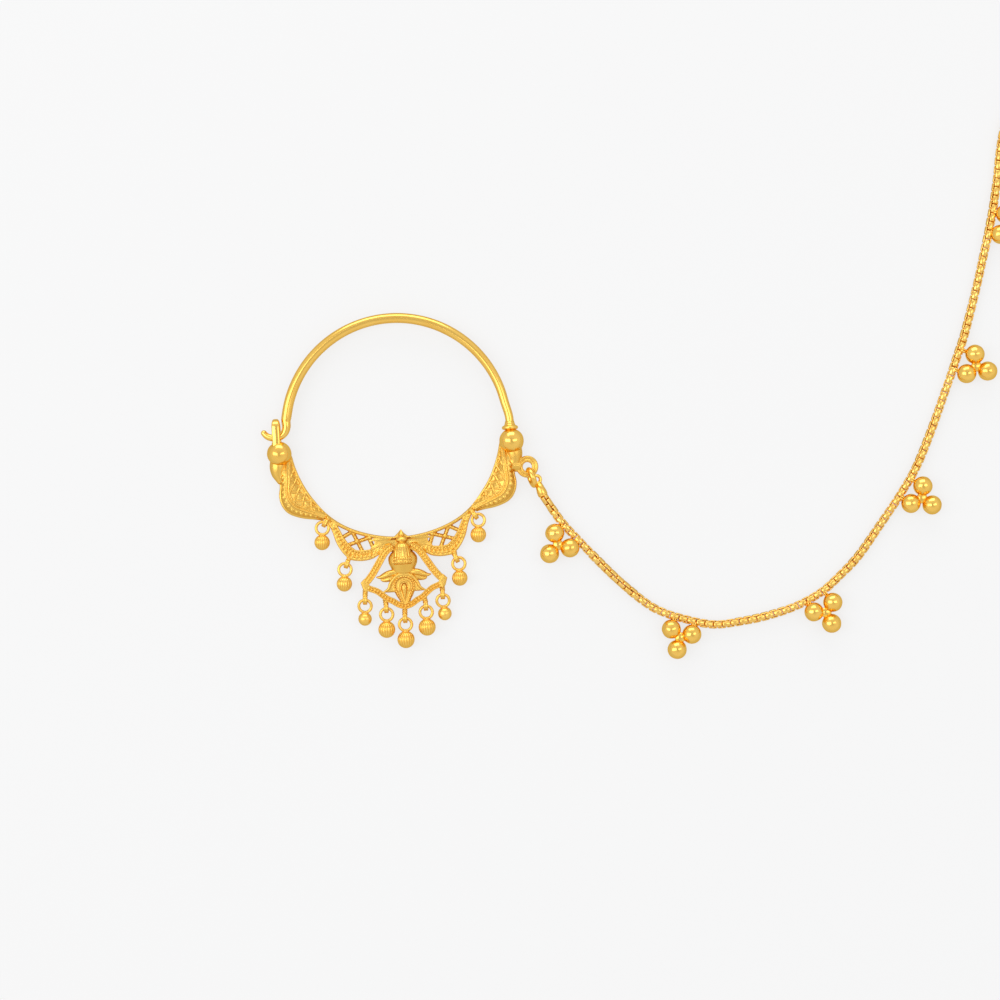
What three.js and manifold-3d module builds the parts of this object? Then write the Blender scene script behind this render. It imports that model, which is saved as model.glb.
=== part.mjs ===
// A gold nose ring of the nath kind with its hair chain, lying flat on its back.
// Millimetres, +Z up. The floor is z = 0, and the origin is the middle of the crescent's flat back.

import * as THREE from "three";
import { mergeVertices } from "three/addons/utils/BufferGeometryUtils.js";
import Module from "manifold-3d";

const wasm = await Module();
wasm.setup();

// Driving dimensions of the nose ring. They are in its own plane, with +Y towards the top of the
// hoop and the middle of the ring at 0, 0. Angles on the crescent are degrees from straight down.
const RING_TURN = 3.5;
const BACK_Y = -13.6;
const MID_HEIGHT = 1.43;
const HOOP_RADIUS = 13.39;
const HOOP_CENTRE = new THREE.Vector3(0.27, 0.07, MID_HEIGHT);
const WIRE_RADIUS = 0.57;
const WIRE_END_RADIUS = 0.5;
const BALL_RADIUS = 1.42;
const BALL_X = 13.97;
const BALL_Y = -2.16;
const COLLAR_X = 13.87;
const COLLAR_Y = -0.5;
const COLLAR_RADIUS = 0.98;
const COLLAR_SHOULDER = 0.85;
const COLLAR_NECK = 0.68;
const COLLAR_RISE = 0.22;
const HOOK = [
  { at: [-12.98, 1.8], radius: 0.53 }, { at: [-12.96, 1.15], radius: 0.5 },
  { at: [-13.14, 0.55], radius: 0.47 }, { at: [-13.52, 0.12], radius: 0.43 },
  { at: [-14.05, -0.1], radius: 0.39 }, { at: [-14.6, -0.08], radius: 0.35 },
  { at: [-15.08, 0.1], radius: 0.31 }, { at: [-15.42, 0.42], radius: 0.28 },
  { at: [-15.68, 0.82], radius: 0.26 },
];
const CATCH_X = -14.1;
const CATCH_TOP = 2.18;
const CATCH_WIDTH = 0.94;
const CATCH_OUTER = 1.02;
const CATCH_WALL = 0.4;
const CATCH_FOOT = -1.36;
const CATCH_BEVEL = 0.1;
const FIT_GAP = 0.05;

// The crescent's inner edge, its heights over the flat back, and the widths of its bars
const EDGE_RADIUS = 12.62;
const EDGE_EXTRA_BELOW = 0.1;
const RIM_WIDTH = 0.42;
const RIM_HEIGHT = 1.0;
const RIM_SPREAD = 42;
const BAND_WIDTH = 1.0;
const BAND_HEIGHT = 1.15;
const MIDDLE_HEIGHT = 0.84;
const BAR_WIDTH = 0.34;
const BAR_HEIGHT = 0.8;

// One wing: outer radius and crown height at each angle, and the share of its width that lies
// inside the line between the lattice field and the border.
const WING = [
  { angle: 79, outer: 14.9, crown: 2.2, line: 0.12 },
  { angle: 76.5, outer: 15.2, crown: 2.3, line: 0.2 },
  { angle: 72.5, outer: 15.22, crown: 2.3, line: 0.34 },
  { angle: 69.5, outer: 15.15, crown: 2.24, line: 0.48 },
  { angle: 66.5, outer: 15.4, crown: 2.2, line: 0.57 },
  { angle: 63.5, outer: 15.95, crown: 2.2, line: 0.62 },
  { angle: 60.5, outer: 16.25, crown: 2.16, line: 0.63 },
  { angle: 57.5, outer: 16.3, crown: 2.1, line: 0.63 },
  { angle: 54.8, outer: 16.1, crown: 2.0, line: 0.61 },
  { angle: 52, outer: 15.65, crown: 1.86, line: 0.56 },
  { angle: 49, outer: 15.05, crown: 1.66, line: 0.52 },
  { angle: 46, outer: 14.35, crown: 1.42, line: 0.5 },
  { angle: 43, outer: 13.7, crown: 1.2, line: 0.5 },
  { angle: 40.3, outer: 13.3, crown: 1.02, line: 0.5 },
];

// Height of a wing's cross section, as a share of its crown, at shares of its width. The line
// between field and border is where the two lists meet.
const FIELD_PROFILE = [[0, 0.34], [0.1, 0.5], [0.22, 0.5], [0.6, 0.8], [0.92, 0.95]];
const BORDER_PROFILE = [[0, 1.04], [0.1, 0.95], [0.45, 0.92], [0.75, 0.74], [1, 0.36]];

// The outer edge of one scallop, from the pinch beside the wing to the middle
const SCALLOP = [
  { angle: 39.8, radius: 13.35 }, { angle: 37, radius: 13.75 }, { angle: 34, radius: 14.35 },
  { angle: 31, radius: 15.1 }, { angle: 28, radius: 15.7 }, { angle: 25, radius: 16.15 },
  { angle: 22, radius: 16.42 }, { angle: 19, radius: 16.3 }, { angle: 16, radius: 16.05 },
  { angle: 13, radius: 15.65 }, { angle: 10.5, radius: 15.1 }, { angle: 7, radius: 14.75 },
];

// Bars of one scallop's lattice, from end to end
const LATTICE = [
  { from: [6.92, -12.44], to: [5.75, -11.85] },
  { from: [5.85, -11.75], to: [4.7, -14.35] },
  { from: [6.55, -13.5], to: [3.5, -12.62] },
  { from: [3.86, -12.7], to: [3.4, -14.0] },
];

// Diamonds in a wing's field: the largest size, and each one's share of the field's width
const STUD_SIZE = 0.42;
const STUD_SHARE = 0.3;
const STUD_HEIGHT = 0.32;

// The solid middle behind the pendant: half its spread in degrees, and its radius in the middle and
// at its corners
const MIDDLE_SPREAD = 13.5;
const MIDDLE_RADIUS = 14.6;
const MIDDLE_CORNER = 15.1;

// Plain cone that runs from each ball onto its wing
const NECK = { from: [14.08, -3.2], fromRadius: 0.98, to: [13.93, -5.4], toRadius: 0.3, height: 1.55 };

// The pendant stands on the crescent's middle, in a seat that clears its footprint
const PENDANT_BACK = 0.92;
const SEAT_CLEARANCE = 0.07;
const SEAT_DEPTH = 3;
const SEAT_OUTLINE = [[0, -11.9], [0.55, -12.4], [0.6, -13.3], [1.25, -13.9], [1.6, -14.3], [1.9, -15.3],
  [1.8, -16.2], [0, -17.6]];
const STRAP_WIDTH = 0.7;
const STRAP_HEIGHT = 0.78;
const EDGE_WIDTH = 0.62;
const EDGE_HEIGHT = 0.72;
const STRAP_LINE = [[1.3, -13.95], [2.3, -14.6], [3.2, -15.9], [3.87, -16.95], [4.35, -17.75], [4.72, -18.2]];
const LOWER_LINE = [[4.72, -18.2], [4.35, -18.72], [3.35, -19.15], [2.7, -19.65], [2.1, -20.15],
  [1.4, -20.52], [0.75, -20.95], [0, -21.2]];
const CORNER = [[5.2, -18.05], [4.75, -17.6], [4.2, -18.3], [4.5, -19.35], [4.95, -18.9]];
const PETAL = [[0.6, -17.0], [1.25, -16.72], [1.9, -16.86], [2.6, -17.38], [3.35, -17.5],
  [2.7, -17.9], [1.8, -17.95], [0.9, -17.75]];
const LOTUS = [[0, -17.35], [1.05, -17.6], [1.62, -18.3], [1.85, -18.85], [2.6, -19.38], [1.75, -19.42],
  [1.2, -19.42], [0.95, -19.95], [0.7, -20.35], [0.45, -20.9], [0, -21.1]];
const FOOT = [[0, -20.8], [0.5, -20.75], [0.5, -21.4], [0, -21.5]];
const PETAL_HEIGHT = 0.72;
const LOTUS_HEIGHT = 0.82;
const HORSESHOE = { centre: [0, -18.75], radius: 0.64, legs: 0.55, wire: 0.14 };
const DROP_ORNAMENT = { top: -18.45, bottom: -20.5, radius: 0.36 };

// Turned bodies of the pendant, as radius and place along the ring's own Y. The bud and the urn are
// flattened, and the ribbed bell stands in front of the urn.
const BUD = [[0, -12.12], [0.2, -12.4], [0.42, -12.85], [0.3, -13.2], [0.42, -13.4], [0.5, -13.75],
  [0, -13.9]];
const URN = [[0, -14.0], [0.75, -14.2], [1.4, -14.75], [1.76, -15.45], [1.7, -16.0], [1.45, -16.55],
  [1.2, -17.1], [0.7, -17.45], [0, -17.5]];
const BELL = [[0, -13.35], [0.42, -13.5], [0.72, -13.95], [1.0, -14.55], [1.18, -15.15], [1.26, -15.3],
  [1.26, -16.0], [1.1, -16.15], [0, -16.2]];
const TURNED_MID = 1.15;
const URN_FLATTENING = 0.62;
const BELL_LIFT = 0.12;
const RIB_DEPTH = 0.08;
const RIBBED_FROM = -15.2;
const BELL_SIDES = 16;
const URN_SIDES = 12;
const PENDANT_ROOM = { side: 14, height: 4, middleY: -17 };

// Eyelets and drops. A drop's ring lies level, so its eyelet stands upright: lean turns the eyelet,
// and hang turns the ball, in degrees from the ring's own straight down towards +X.
const EYELET_RADIUS = 0.45;
const EYELET_WIRE = 0.17;
const EYELET_BREADTH = 1.35;
const DROP_RING_RADIUS = 0.75;
const DROP_RING_WIRE = 0.18;
const CRESCENT_EYELET_HEIGHT = 0.95;
const PENDANT_EYELET_HEIGHT = 1.2;
const STEM_RADIUS = 0.26;
const STEM_END_RADIUS = 0.22;
const SOLDER_DEPTH = 0.16;
const DROPS = [
  { on: "crescent", at: [-8.94, -10.61], root: [-8.45, -10.0], lean: -31, hang: -4.5, ball: 0.92 },
  { on: "crescent", at: [-6.55, -15.66], root: [-6.3, -15.0], lean: -22, hang: -6, ball: 0.92 },
  { on: "pendant", at: [-4.75, -20.06], root: [-4.6, -18.8], lean: -4, hang: -4, ball: 0.79 },
  { on: "pendant", at: [-2.25, -21.17], root: [-2.3, -20.1], lean: 0, hang: -3, ball: 1.01 },
  { on: "pendant", at: [-0.05, -22.48], root: [0, -21.1], lean: 0, hang: -1.5, ball: 1.03 },
  { on: "pendant", at: [2.42, -21.14], root: [2.35, -20.1], lean: 0, hang: 0, ball: 1.01 },
  { on: "pendant", at: [4.62, -19.97], root: [4.6, -18.8], lean: 0, hang: 4, ball: 0.8 },
  { on: "crescent", at: [6.5, -15.72], root: [6.3, -15.0], lean: 22, hang: 0, ball: 0.92 },
  { on: "crescent", at: [8.94, -10.61], root: [8.45, -10.0], lean: 31, hang: -3.5, ball: 0.93 },
];

// The chain's eye is soldered to the right wing
const EYE_CENTRE = [15.79, -5.46];
const EYE_RADIUS = 0.97;
const EYE_WIRE = 0.27;
const EYE_HEIGHT = 1.35;
const EYE_SOLDER = { from: [14.1, -5.3], fromRadius: 0.5, to: [14.95, -5.4], toRadius: 0.4 };

// The rest is in the part's own frame, as it lies on the floor. The chain's line was chosen by hand.
const CHAIN_WIDTH = 0.9;
const CHAIN_SIDES = 8;
const CHAIN_STEPS = 64;
const CHAIN_LIFT = 0.29;
const END_LIFT = 0.6;
const FAR_LIFT = 0.32;
const LIFT_REACH = 2.2;
const FLOOR_GAP = 0.005;
const CHAIN_LINE = [
  [17.5, 5.2], [19.25, 2.72], [21.7, 0.05], [23.98, -2.3], [26.26, -4.49], [29.02, -6.79],
  [31.06, -8.03], [33.76, -8.94], [37.52, -9.68], [41.02, -9.26], [44.26, -8.54], [47.46, -7.43],
  [50.38, -5.8], [52.78, -3.68], [54.82, -1.5], [57.1, 1.74], [59.7, 5.65], [61.85, 9.37],
  [63.7, 13.9], [65.36, 18.61], [66.7, 22.61], [67.66, 25.49], [69.0, 30.7], [70.1, 35.77],
  [70.85, 39.61], [71.44, 43.38], [71.83, 47.0], [72.3, 49.6], [73.2, 51.9], [74.5, 53.8],
];
const CLUSTER_BALL = 1.12;
const CLUSTER_REACH = 1.46;
const CLUSTER_BOSS = 0.62;
const CLUSTER_RING_RADIUS = 0.62;
const CLUSTER_RING_WIRE = 0.11;
const CLUSTER_SOLDER = 0.3;
const CLUSTER_BOSS_LIFT = 0.2;
const CLUSTERS = [
  { centre: [18.83, -0.22], far: -134 },
  { centre: [33.46, -11.33], far: -104 },
  { centre: [50.97, -8.32], far: -63 },
  { centre: [62.46, 5.4], far: -34 },
  { centre: [68.99, 21.2], far: -23 },
  { centre: [72.88, 38.1], far: -13.5 },
];
const LINK = { from: [15.4, 8.85], to: [16.7, 6.65], wire: 0.22, pitch: 62, height: 1.38 };
const CAP_RADIUS = 0.45;
const CAP_EYE_RADIUS = 0.5;
const CAP_EYE_WIRE = 0.17;
const FAR_CAP_LENGTH = 1.6;
const HOOK_RING_RADIUS = 0.8;
const HOOK_RING_WIRE = 0.2;
const HAIR_HOOK_WIRE = 0.36;
const HAIR_HOOK_LENGTH = 7;
const HAIR_HOOK_BEND = 1.3;
const HAIR_HOOK_TIP = 3.2;

// Numbers of faces: round pieces, their rows, and round wires
const BIG_BALL_SIDES = 14;
const BIG_BALL_ROWS = 8;
const BALL_SIDES = 10;
const BALL_ROWS = 6;
const TURNED_SIDES = 8;
const WIRE_SIDES = 6;
const THIN_SIDES = 5;
const LINK_STEPS = 14;
const RING_STEPS = 10;
const FINEST_DETAIL = 0.012;

const UP = new THREE.Vector3(0, 0, 1);
const radians = THREE.MathUtils.degToRad;
const spot = ([x, y], z = 0) => new THREE.Vector3(x, y, z);

// Direction in the ring's plane, by its angle from straight down towards +X
function downward(angle) {
  return new THREE.Vector3(Math.sin(radians(angle)), -Math.cos(radians(angle)), 0);
}

function onCrescent(angle, radius, z = 0) {
  return downward(angle).multiplyScalar(radius).setZ(z);
}

function edgeRadius(angle) {
  return EDGE_RADIUS + EDGE_EXTRA_BELOW * Math.cos(radians(angle));
}

// A closed solid becomes a manifold for cutting and joining
function solid(geometry) {
  const plain = geometry.clone();
  plain.deleteAttribute("normal");
  plain.deleteAttribute("uv");
  const merged = mergeVertices(plain, 1e-4);
  return new wasm.Manifold(new wasm.Mesh({
    numProp: 3,
    vertProperties: new Float32Array(merged.attributes.position.array),
    triVerts: new Uint32Array(merged.index.array),
  }));
}

function joined(solids) {
  return solids.reduce((whole, next) => whole.add(next));
}

// Edges shorter than the detail that can be seen are merged away
function geometryOf(manifold) {
  const mesh = manifold.simplify(FINEST_DETAIL).getMesh();
  const geometry = new THREE.BufferGeometry();
  geometry.setAttribute("position", new THREE.BufferAttribute(mesh.vertProperties, 3));
  geometry.setIndex(new THREE.BufferAttribute(mesh.triVerts, 1));
  geometry.computeVertexNormals();
  return geometry;
}

// Mirror image across the ring's own Y axis
function mirrored(manifold) {
  return manifold.mirror([1, 0, 0]);
}

// A closed solid through rings of points, which all turn the same way, with its two ends capped
function loft(rings) {
  const count = rings[0].length;
  const points = rings.flat();
  const faces = [];
  for (let i = 0; i + 1 < rings.length; i += 1) {
    for (let j = 0; j < count; j += 1) {
      const a = i * count + j;
      const b = i * count + ((j + 1) % count);
      faces.push(a, b, b + count, a, b + count, a + count);
    }
  }
  const first = points.push(centroid(rings[0])) - 1;
  const last = points.push(centroid(rings.at(-1))) - 1;
  const start = (rings.length - 1) * count;
  for (let j = 0; j < count; j += 1) {
    const k = (j + 1) % count;
    faces.push(first, k, j, last, start + j, start + k);
  }
  const geometry = new THREE.BufferGeometry().setFromPoints(points);
  geometry.setIndex(faces);
  return solid(facingOut(geometry));
}

function centroid(points) {
  return points.reduce((sum, p) => sum.add(p), new THREE.Vector3()).divideScalar(points.length);
}

// Turns every face round if the closed mesh is inside out
function facingOut(geometry) {
  const { position } = geometry.attributes;
  const index = geometry.index.array;
  const [a, b, c] = [new THREE.Vector3(), new THREE.Vector3(), new THREE.Vector3()];
  let volume = 0;
  for (let i = 0; i < index.length; i += 3) {
    a.fromBufferAttribute(position, index[i]);
    b.fromBufferAttribute(position, index[i + 1]);
    c.fromBufferAttribute(position, index[i + 2]);
    volume += a.dot(b.cross(c));
  }
  if (volume < 0) {
    geometry.setIndex([...index].reverse());
  }
  return geometry;
}

// A bar along a flat line of points: flat back, upright sides and a domed top
function ribbon(line, width, height, base = 0) {
  const curve = new THREE.CatmullRomCurve3(line, false, "centripetal");
  const steps = line.length - 1;
  const rings = Array.from({ length: steps + 1 }, (_, i) => {
    const along = curve.getTangent(i / steps);
    const side = new THREE.Vector3(along.y, -along.x, 0).normalize();
    const middle = curve.getPoint(i / steps);
    const section = [[-0.5, 0], [-0.5, 0.62], [-0.2, 1], [0.2, 1], [0.5, 0.62], [0.5, 0]];
    return section.map(([u, v]) => middle.clone().addScaledVector(side, u * width).setZ(base + v * height));
  });
  return loft(rings);
}

// A round wire through a line of points, none of which lies straight above the one before it.
// The list radii gives its radius at each point.
function wire(line, sides, radii) {
  const curve = new THREE.CatmullRomCurve3(line, false, "centripetal");
  const rings = line.map((middle, i) => {
    const along = curve.getTangent(i / (line.length - 1));
    const side = UP.clone().cross(along).normalize();
    const top = along.clone().cross(side);
    return Array.from({ length: sides }, (_, j) => {
      const turn = (2 * Math.PI * (j + 0.5)) / sides;
      return middle.clone()
        .addScaledVector(side, radii[i] * Math.cos(turn))
        .addScaledVector(top, radii[i] * Math.sin(turn));
    });
  });
  return loft(rings);
}

// A plate with an outline given for its right half, mirrored to the left
function plate(half, height, base, bevel) {
  const left = half.filter(([x]) => x > 0).map(([x, y]) => [-x, y]).reverse();
  const shape = new THREE.Shape([...half, ...left].map(([x, y]) => new THREE.Vector2(x, y)));
  return raised(shape, height, base, bevel);
}

// An outline raised from its base, with a sloping edge round its top and bottom
function raised(shape, height, base, bevel) {
  const geometry = new THREE.ExtrudeGeometry(shape, {
    depth: height - 2 * bevel,
    bevelEnabled: bevel > 0,
    bevelThickness: bevel,
    bevelSize: bevel,
    bevelOffset: -bevel,
    bevelSegments: 1,
  });
  geometry.translate(0, 0, base + bevel);
  return solid(geometry);
}

function ball(radius, centre, around, rows) {
  const geometry = new THREE.SphereGeometry(radius, around, rows);
  geometry.rotateX(Math.PI / 2);
  return solid(geometry.translate(...centre.toArray()));
}

function ring(centre, axis, radius, thickness, around, sides, breadth = 1) {
  const geometry = new THREE.TorusGeometry(radius, thickness, sides, around);
  geometry.scale(1, 1, breadth);
  geometry.applyQuaternion(new THREE.Quaternion().setFromUnitVectors(UP, axis.clone().normalize()));
  return solid(geometry.translate(...centre.toArray()));
}

// A round bar from one point to another, with a radius at each end
function cone(from, to, fromRadius, toRadius, sides) {
  const along = to.clone().sub(from);
  const geometry = new THREE.CylinderGeometry(toRadius, fromRadius, along.length(), sides);
  geometry.translate(0, along.length() / 2, 0);
  geometry.applyQuaternion(
    new THREE.Quaternion().setFromUnitVectors(new THREE.Vector3(0, 1, 0), along.normalize()),
  );
  return solid(geometry.translate(...from.toArray()));
}

// A turned body round the ring's own Y, flattened towards its back
function turned(profile, sides, flattening, height) {
  const points = profile.map(([r, y]) => new THREE.Vector2(r, y)).reverse();
  const geometry = new THREE.LatheGeometry(points, sides);
  geometry.scale(1, 1, flattening);
  return geometry.translate(0, 0, height);
}

function hoopWire() {
  const thinning = (angle) => THREE.MathUtils.mapLinear(angle, 0, 60, WIRE_END_RADIUS, WIRE_RADIUS);
  const line = [spot([COLLAR_X, COLLAR_Y], MID_HEIGHT), spot([13.84, 0.78], MID_HEIGHT)];
  const radii = [WIRE_END_RADIUS, WIRE_END_RADIUS];
  for (let angle = 10; angle <= 170; angle += 8) {
    line.push(downward(angle + 90).multiplyScalar(HOOP_RADIUS).add(HOOP_CENTRE));
    radii.push(Math.min(WIRE_RADIUS, thinning(angle)));
  }
  line.push(...HOOK.map(({ at }) => spot(at, MID_HEIGHT)));
  radii.push(...HOOK.map(({ radius }) => radius));
  const shoulder = spot([COLLAR_X, COLLAR_Y + COLLAR_RISE], MID_HEIGHT);
  const foot = spot([COLLAR_X, COLLAR_Y - COLLAR_RISE], MID_HEIGHT);
  const neck = spot([COLLAR_X, COLLAR_Y + 3 * COLLAR_RISE], MID_HEIGHT);
  const disc = cone(foot, shoulder, COLLAR_RADIUS, COLLAR_SHOULDER, BIG_BALL_SIDES);
  const flare = cone(shoulder, neck, COLLAR_NECK, WIRE_END_RADIUS, TURNED_SIDES);
  const seat = ball(BALL_RADIUS + FIT_GAP, spot([BALL_X, BALL_Y], MID_HEIGHT), BIG_BALL_SIDES, BIG_BALL_ROWS);
  return joined([wire(line, TURNED_SIDES, radii), disc, flare]).subtract(seat);
}

function endBall() {
  return ball(BALL_RADIUS, spot([BALL_X, BALL_Y], MID_HEIGHT), BIG_BALL_SIDES, BIG_BALL_ROWS);
}

// The catch loop is a flat strap bent into a U and soldered upright on the ball
function catchBall() {
  const inner = CATCH_OUTER - CATCH_WALL;
  const bend = CATCH_TOP - CATCH_OUTER;
  const shape = new THREE.Shape();
  shape.moveTo(-CATCH_OUTER, CATCH_FOOT);
  shape.lineTo(-CATCH_OUTER, bend);
  shape.absarc(0, bend, CATCH_OUTER, Math.PI, 0, true);
  shape.lineTo(CATCH_OUTER, CATCH_FOOT);
  shape.lineTo(inner, CATCH_FOOT);
  shape.lineTo(inner, bend);
  shape.absarc(0, bend, inner, 0, Math.PI, false);
  shape.lineTo(-inner, CATCH_FOOT);
  shape.closePath();
  const geometry = new THREE.ExtrudeGeometry(shape, {
    depth: CATCH_WIDTH - 2 * CATCH_BEVEL,
    curveSegments: 5,
    bevelThickness: CATCH_BEVEL,
    bevelSize: CATCH_BEVEL,
    bevelOffset: -CATCH_BEVEL,
    bevelSegments: 1,
  });
  geometry.translate(0, 0, CATCH_BEVEL - CATCH_WIDTH / 2);
  geometry.rotateY(Math.PI / 2);
  geometry.translate(CATCH_X, 0, MID_HEIGHT);
  const body = ball(BALL_RADIUS, spot([-BALL_X, BALL_Y], MID_HEIGHT), BIG_BALL_SIDES, BIG_BALL_ROWS);
  return body.add(solid(geometry));
}

function wingSection({ angle, outer, crown, line }) {
  const inner = edgeRadius(angle);
  const width = outer - inner;
  const at = (share, height) => onCrescent(angle, inner + share * width, height);
  const field = FIELD_PROFILE.map(([share, level]) => at(share * line, level * crown));
  const border = BORDER_PROFILE.map(([share, level]) => at(line + share * (1 - line), level * crown));
  return [at(0, 0), ...field, ...border, at(1, 0)];
}

// A wing with a row of diamonds in its field, shrinking with the field towards the pinch
function wing() {
  const parts = [loft(WING.map(wingSection))];
  for (const row of WING.filter((_, i) => i > 2 && i % 2 === 1)) {
    const inner = edgeRadius(row.angle);
    const field = (row.outer - inner) * row.line;
    const size = Math.min(STUD_SIZE, STUD_SHARE * field);
    const stud = new THREE.ConeGeometry(size, STUD_HEIGHT, 4).rotateX(Math.PI / 2);
    const fieldHeight = 0.76 * row.crown;
    const middle = onCrescent(row.angle, inner + 0.55 * field, fieldHeight + 0.3 * STUD_HEIGHT);
    stud.rotateZ(radians(row.angle));
    parts.push(solid(stud.translate(...middle.toArray())));
  }
  const { from, to, fromRadius, toRadius, height } = NECK;
  parts.push(cone(spot(from, height), spot(to, height), fromRadius, toRadius, BALL_SIDES));
  return joined(parts);
}

function scallop() {
  const outer = SCALLOP.map(({ angle, radius }) => onCrescent(angle, radius));
  const line = outer.map((point, i) => {
    const before = outer[Math.max(0, i - 1)];
    const after = outer[Math.min(outer.length - 1, i + 1)];
    const along = after.clone().sub(before).normalize();
    const inward = new THREE.Vector3(along.y, -along.x, 0);
    return point.clone().addScaledVector(inward, 0.5 * BAND_WIDTH);
  });
  const band = ribbon(line, BAND_WIDTH, BAND_HEIGHT);
  const bars = LATTICE.map(({ from, to }) => ribbon([spot(from), spot(to)], BAR_WIDTH, BAR_HEIGHT));
  return joined([band, ...bars]);
}

// The solid middle between the two scallops, which the pendant stands on
function middle() {
  const spread = [1, 0.5, 0, -0.5, -1].map((share) => share * MIDDLE_SPREAD);
  const inner = spread.map((angle) => onCrescent(angle, edgeRadius(angle) + 0.1));
  const outer = spread.map((angle) => {
    const corner = Math.abs(angle) === MIDDLE_SPREAD;
    return onCrescent(angle, corner ? MIDDLE_CORNER : MIDDLE_RADIUS);
  });
  const outline = [...inner, ...outer.reverse()].map(({ x, y }) => new THREE.Vector2(x, y));
  return raised(new THREE.Shape(outline), MIDDLE_HEIGHT, 0, 0);
}

function rim() {
  const line = [];
  for (let angle = -RIM_SPREAD; angle <= RIM_SPREAD; angle += RIM_SPREAD / 6) {
    line.push(onCrescent(angle, edgeRadius(angle) + 0.5 * RIM_WIDTH));
  }
  return ribbon(line, RIM_WIDTH, RIM_HEIGHT);
}

// An upright eyelet with the short stem that carries it
function eyelet({ at, root, lean }, height) {
  const centre = spot(at, height);
  const out = downward(lean);
  const across = new THREE.Vector3(-out.y, out.x, 0);
  const loop = ring(centre, across, EYELET_RADIUS, EYELET_WIRE, RING_STEPS, THIN_SIDES, EYELET_BREADTH);
  const stemEnd = centre.clone().addScaledVector(out, -EYELET_RADIUS);
  return loop.add(cone(spot(root, height), stemEnd, STEM_RADIUS, STEM_END_RADIUS, WIRE_SIDES));
}

function eyelets(piece, height) {
  return DROPS.filter(({ on }) => on === piece).map((drop) => eyelet(drop, height));
}

function pendantSeat() {
  const straps = STRAP_LINE.slice(0, 4).map((p) => spot(p));
  const strap = ribbon(straps, STRAP_WIDTH + 2 * SEAT_CLEARANCE, SEAT_DEPTH, MIDDLE_HEIGHT);
  return joined([plate(SEAT_OUTLINE, SEAT_DEPTH, MIDDLE_HEIGHT, 0), strap, mirrored(strap)]);
}

function crescent() {
  const half = joined([wing(), scallop()]);
  const eye = ring(spot(EYE_CENTRE, EYE_HEIGHT), UP, EYE_RADIUS, EYE_WIRE, LINK_STEPS, WIRE_SIDES);
  const { from, to, fromRadius, toRadius } = EYE_SOLDER;
  const solder = cone(spot(from, EYE_HEIGHT), spot(to, EYE_HEIGHT), fromRadius, toRadius, TURNED_SIDES);
  const body = joined([half, mirrored(half), middle(), rim()]).subtract(pendantSeat());
  const whole = joined([body, eye, solder, ...eyelets("crescent", CRESCENT_EYELET_HEIGHT)]);
  const gap = BALL_RADIUS + FIT_GAP;
  const right = ball(gap, spot([BALL_X, BALL_Y], MID_HEIGHT), BIG_BALL_SIDES, BIG_BALL_ROWS);
  return whole.subtract(right).subtract(mirrored(right));
}

// The bell's ribs: every second line of its profile is drawn in
function ribbedBell() {
  const geometry = turned(BELL, BELL_SIDES, 1, 0);
  const { position } = geometry.attributes;
  const rows = BELL.length;
  for (let i = 0; i < position.count; i += 1) {
    const column = Math.floor(i / rows);
    if (column % 2 === 1 && position.getY(i) > RIBBED_FROM) {
      position.setX(i, position.getX(i) * (1 - RIB_DEPTH));
      position.setZ(i, position.getZ(i) * (1 - RIB_DEPTH));
    }
  }
  return solid(geometry.translate(0, 0, TURNED_MID + BELL_LIFT));
}

function horseshoe() {
  const { centre, radius, legs, wire: thickness } = HORSESHOE;
  const height = PENDANT_BACK + LOTUS_HEIGHT;
  const middle = spot(centre, height);
  const leg = (side) => spot([0.85 * side * radius, centre[1] - legs], height);
  const arc = [90, 126, 162, 198, 234, 270].map((turn) => downward(turn).multiplyScalar(radius).add(middle));
  const line = [leg(1), ...arc, leg(-1)];
  return wire(line, THIN_SIDES, line.map(() => thickness));
}

function dropOrnament() {
  const { top, bottom, radius } = DROP_ORNAMENT;
  const long = top - bottom;
  const profile = [[0, top], [radius * 0.7, top - 0.1 * long], [radius, top - 0.28 * long],
    [radius * 0.6, top - 0.6 * long], [0, bottom]];
  return solid(turned(profile, BALL_SIDES, 0.8, PENDANT_BACK + LOTUS_HEIGHT - 0.05));
}

function pendant() {
  const strap = ribbon(STRAP_LINE.map((p) => spot(p)), STRAP_WIDTH, STRAP_HEIGHT, PENDANT_BACK);
  const lower = ribbon(LOWER_LINE.map((p) => spot(p)), EDGE_WIDTH, EDGE_HEIGHT, PENDANT_BACK);
  const corner = raised(
    new THREE.Shape(CORNER.map(([x, y]) => new THREE.Vector2(x, y))), STRAP_HEIGHT, PENDANT_BACK, 0.08,
  );
  const petal = raised(
    new THREE.Shape(PETAL.map(([x, y]) => new THREE.Vector2(x, y))), PETAL_HEIGHT, PENDANT_BACK, 0.1,
  );
  const side = joined([strap, lower, corner, petal]);
  const foot = plate(FOOT, EDGE_HEIGHT, PENDANT_BACK, 0);
  const bodies = [
    side, mirrored(side), foot, plate(LOTUS, LOTUS_HEIGHT, PENDANT_BACK, 0.1), horseshoe(), dropOrnament(),
    solid(turned(BUD, TURNED_SIDES, 0.9, TURNED_MID)),
    solid(turned(URN, URN_SIDES, URN_FLATTENING, TURNED_MID)), ribbedBell(),
  ];
  const { side: wide, height: tall, middleY } = PENDANT_ROOM;
  const room = new THREE.BoxGeometry(wide, wide, tall).translate(0, middleY, PENDANT_BACK + 0.5 * tall);
  const cast = joined(bodies).intersect(solid(room));
  return joined([cast, ...eyelets("pendant", PENDANT_EYELET_HEIGHT)]);
}

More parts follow.
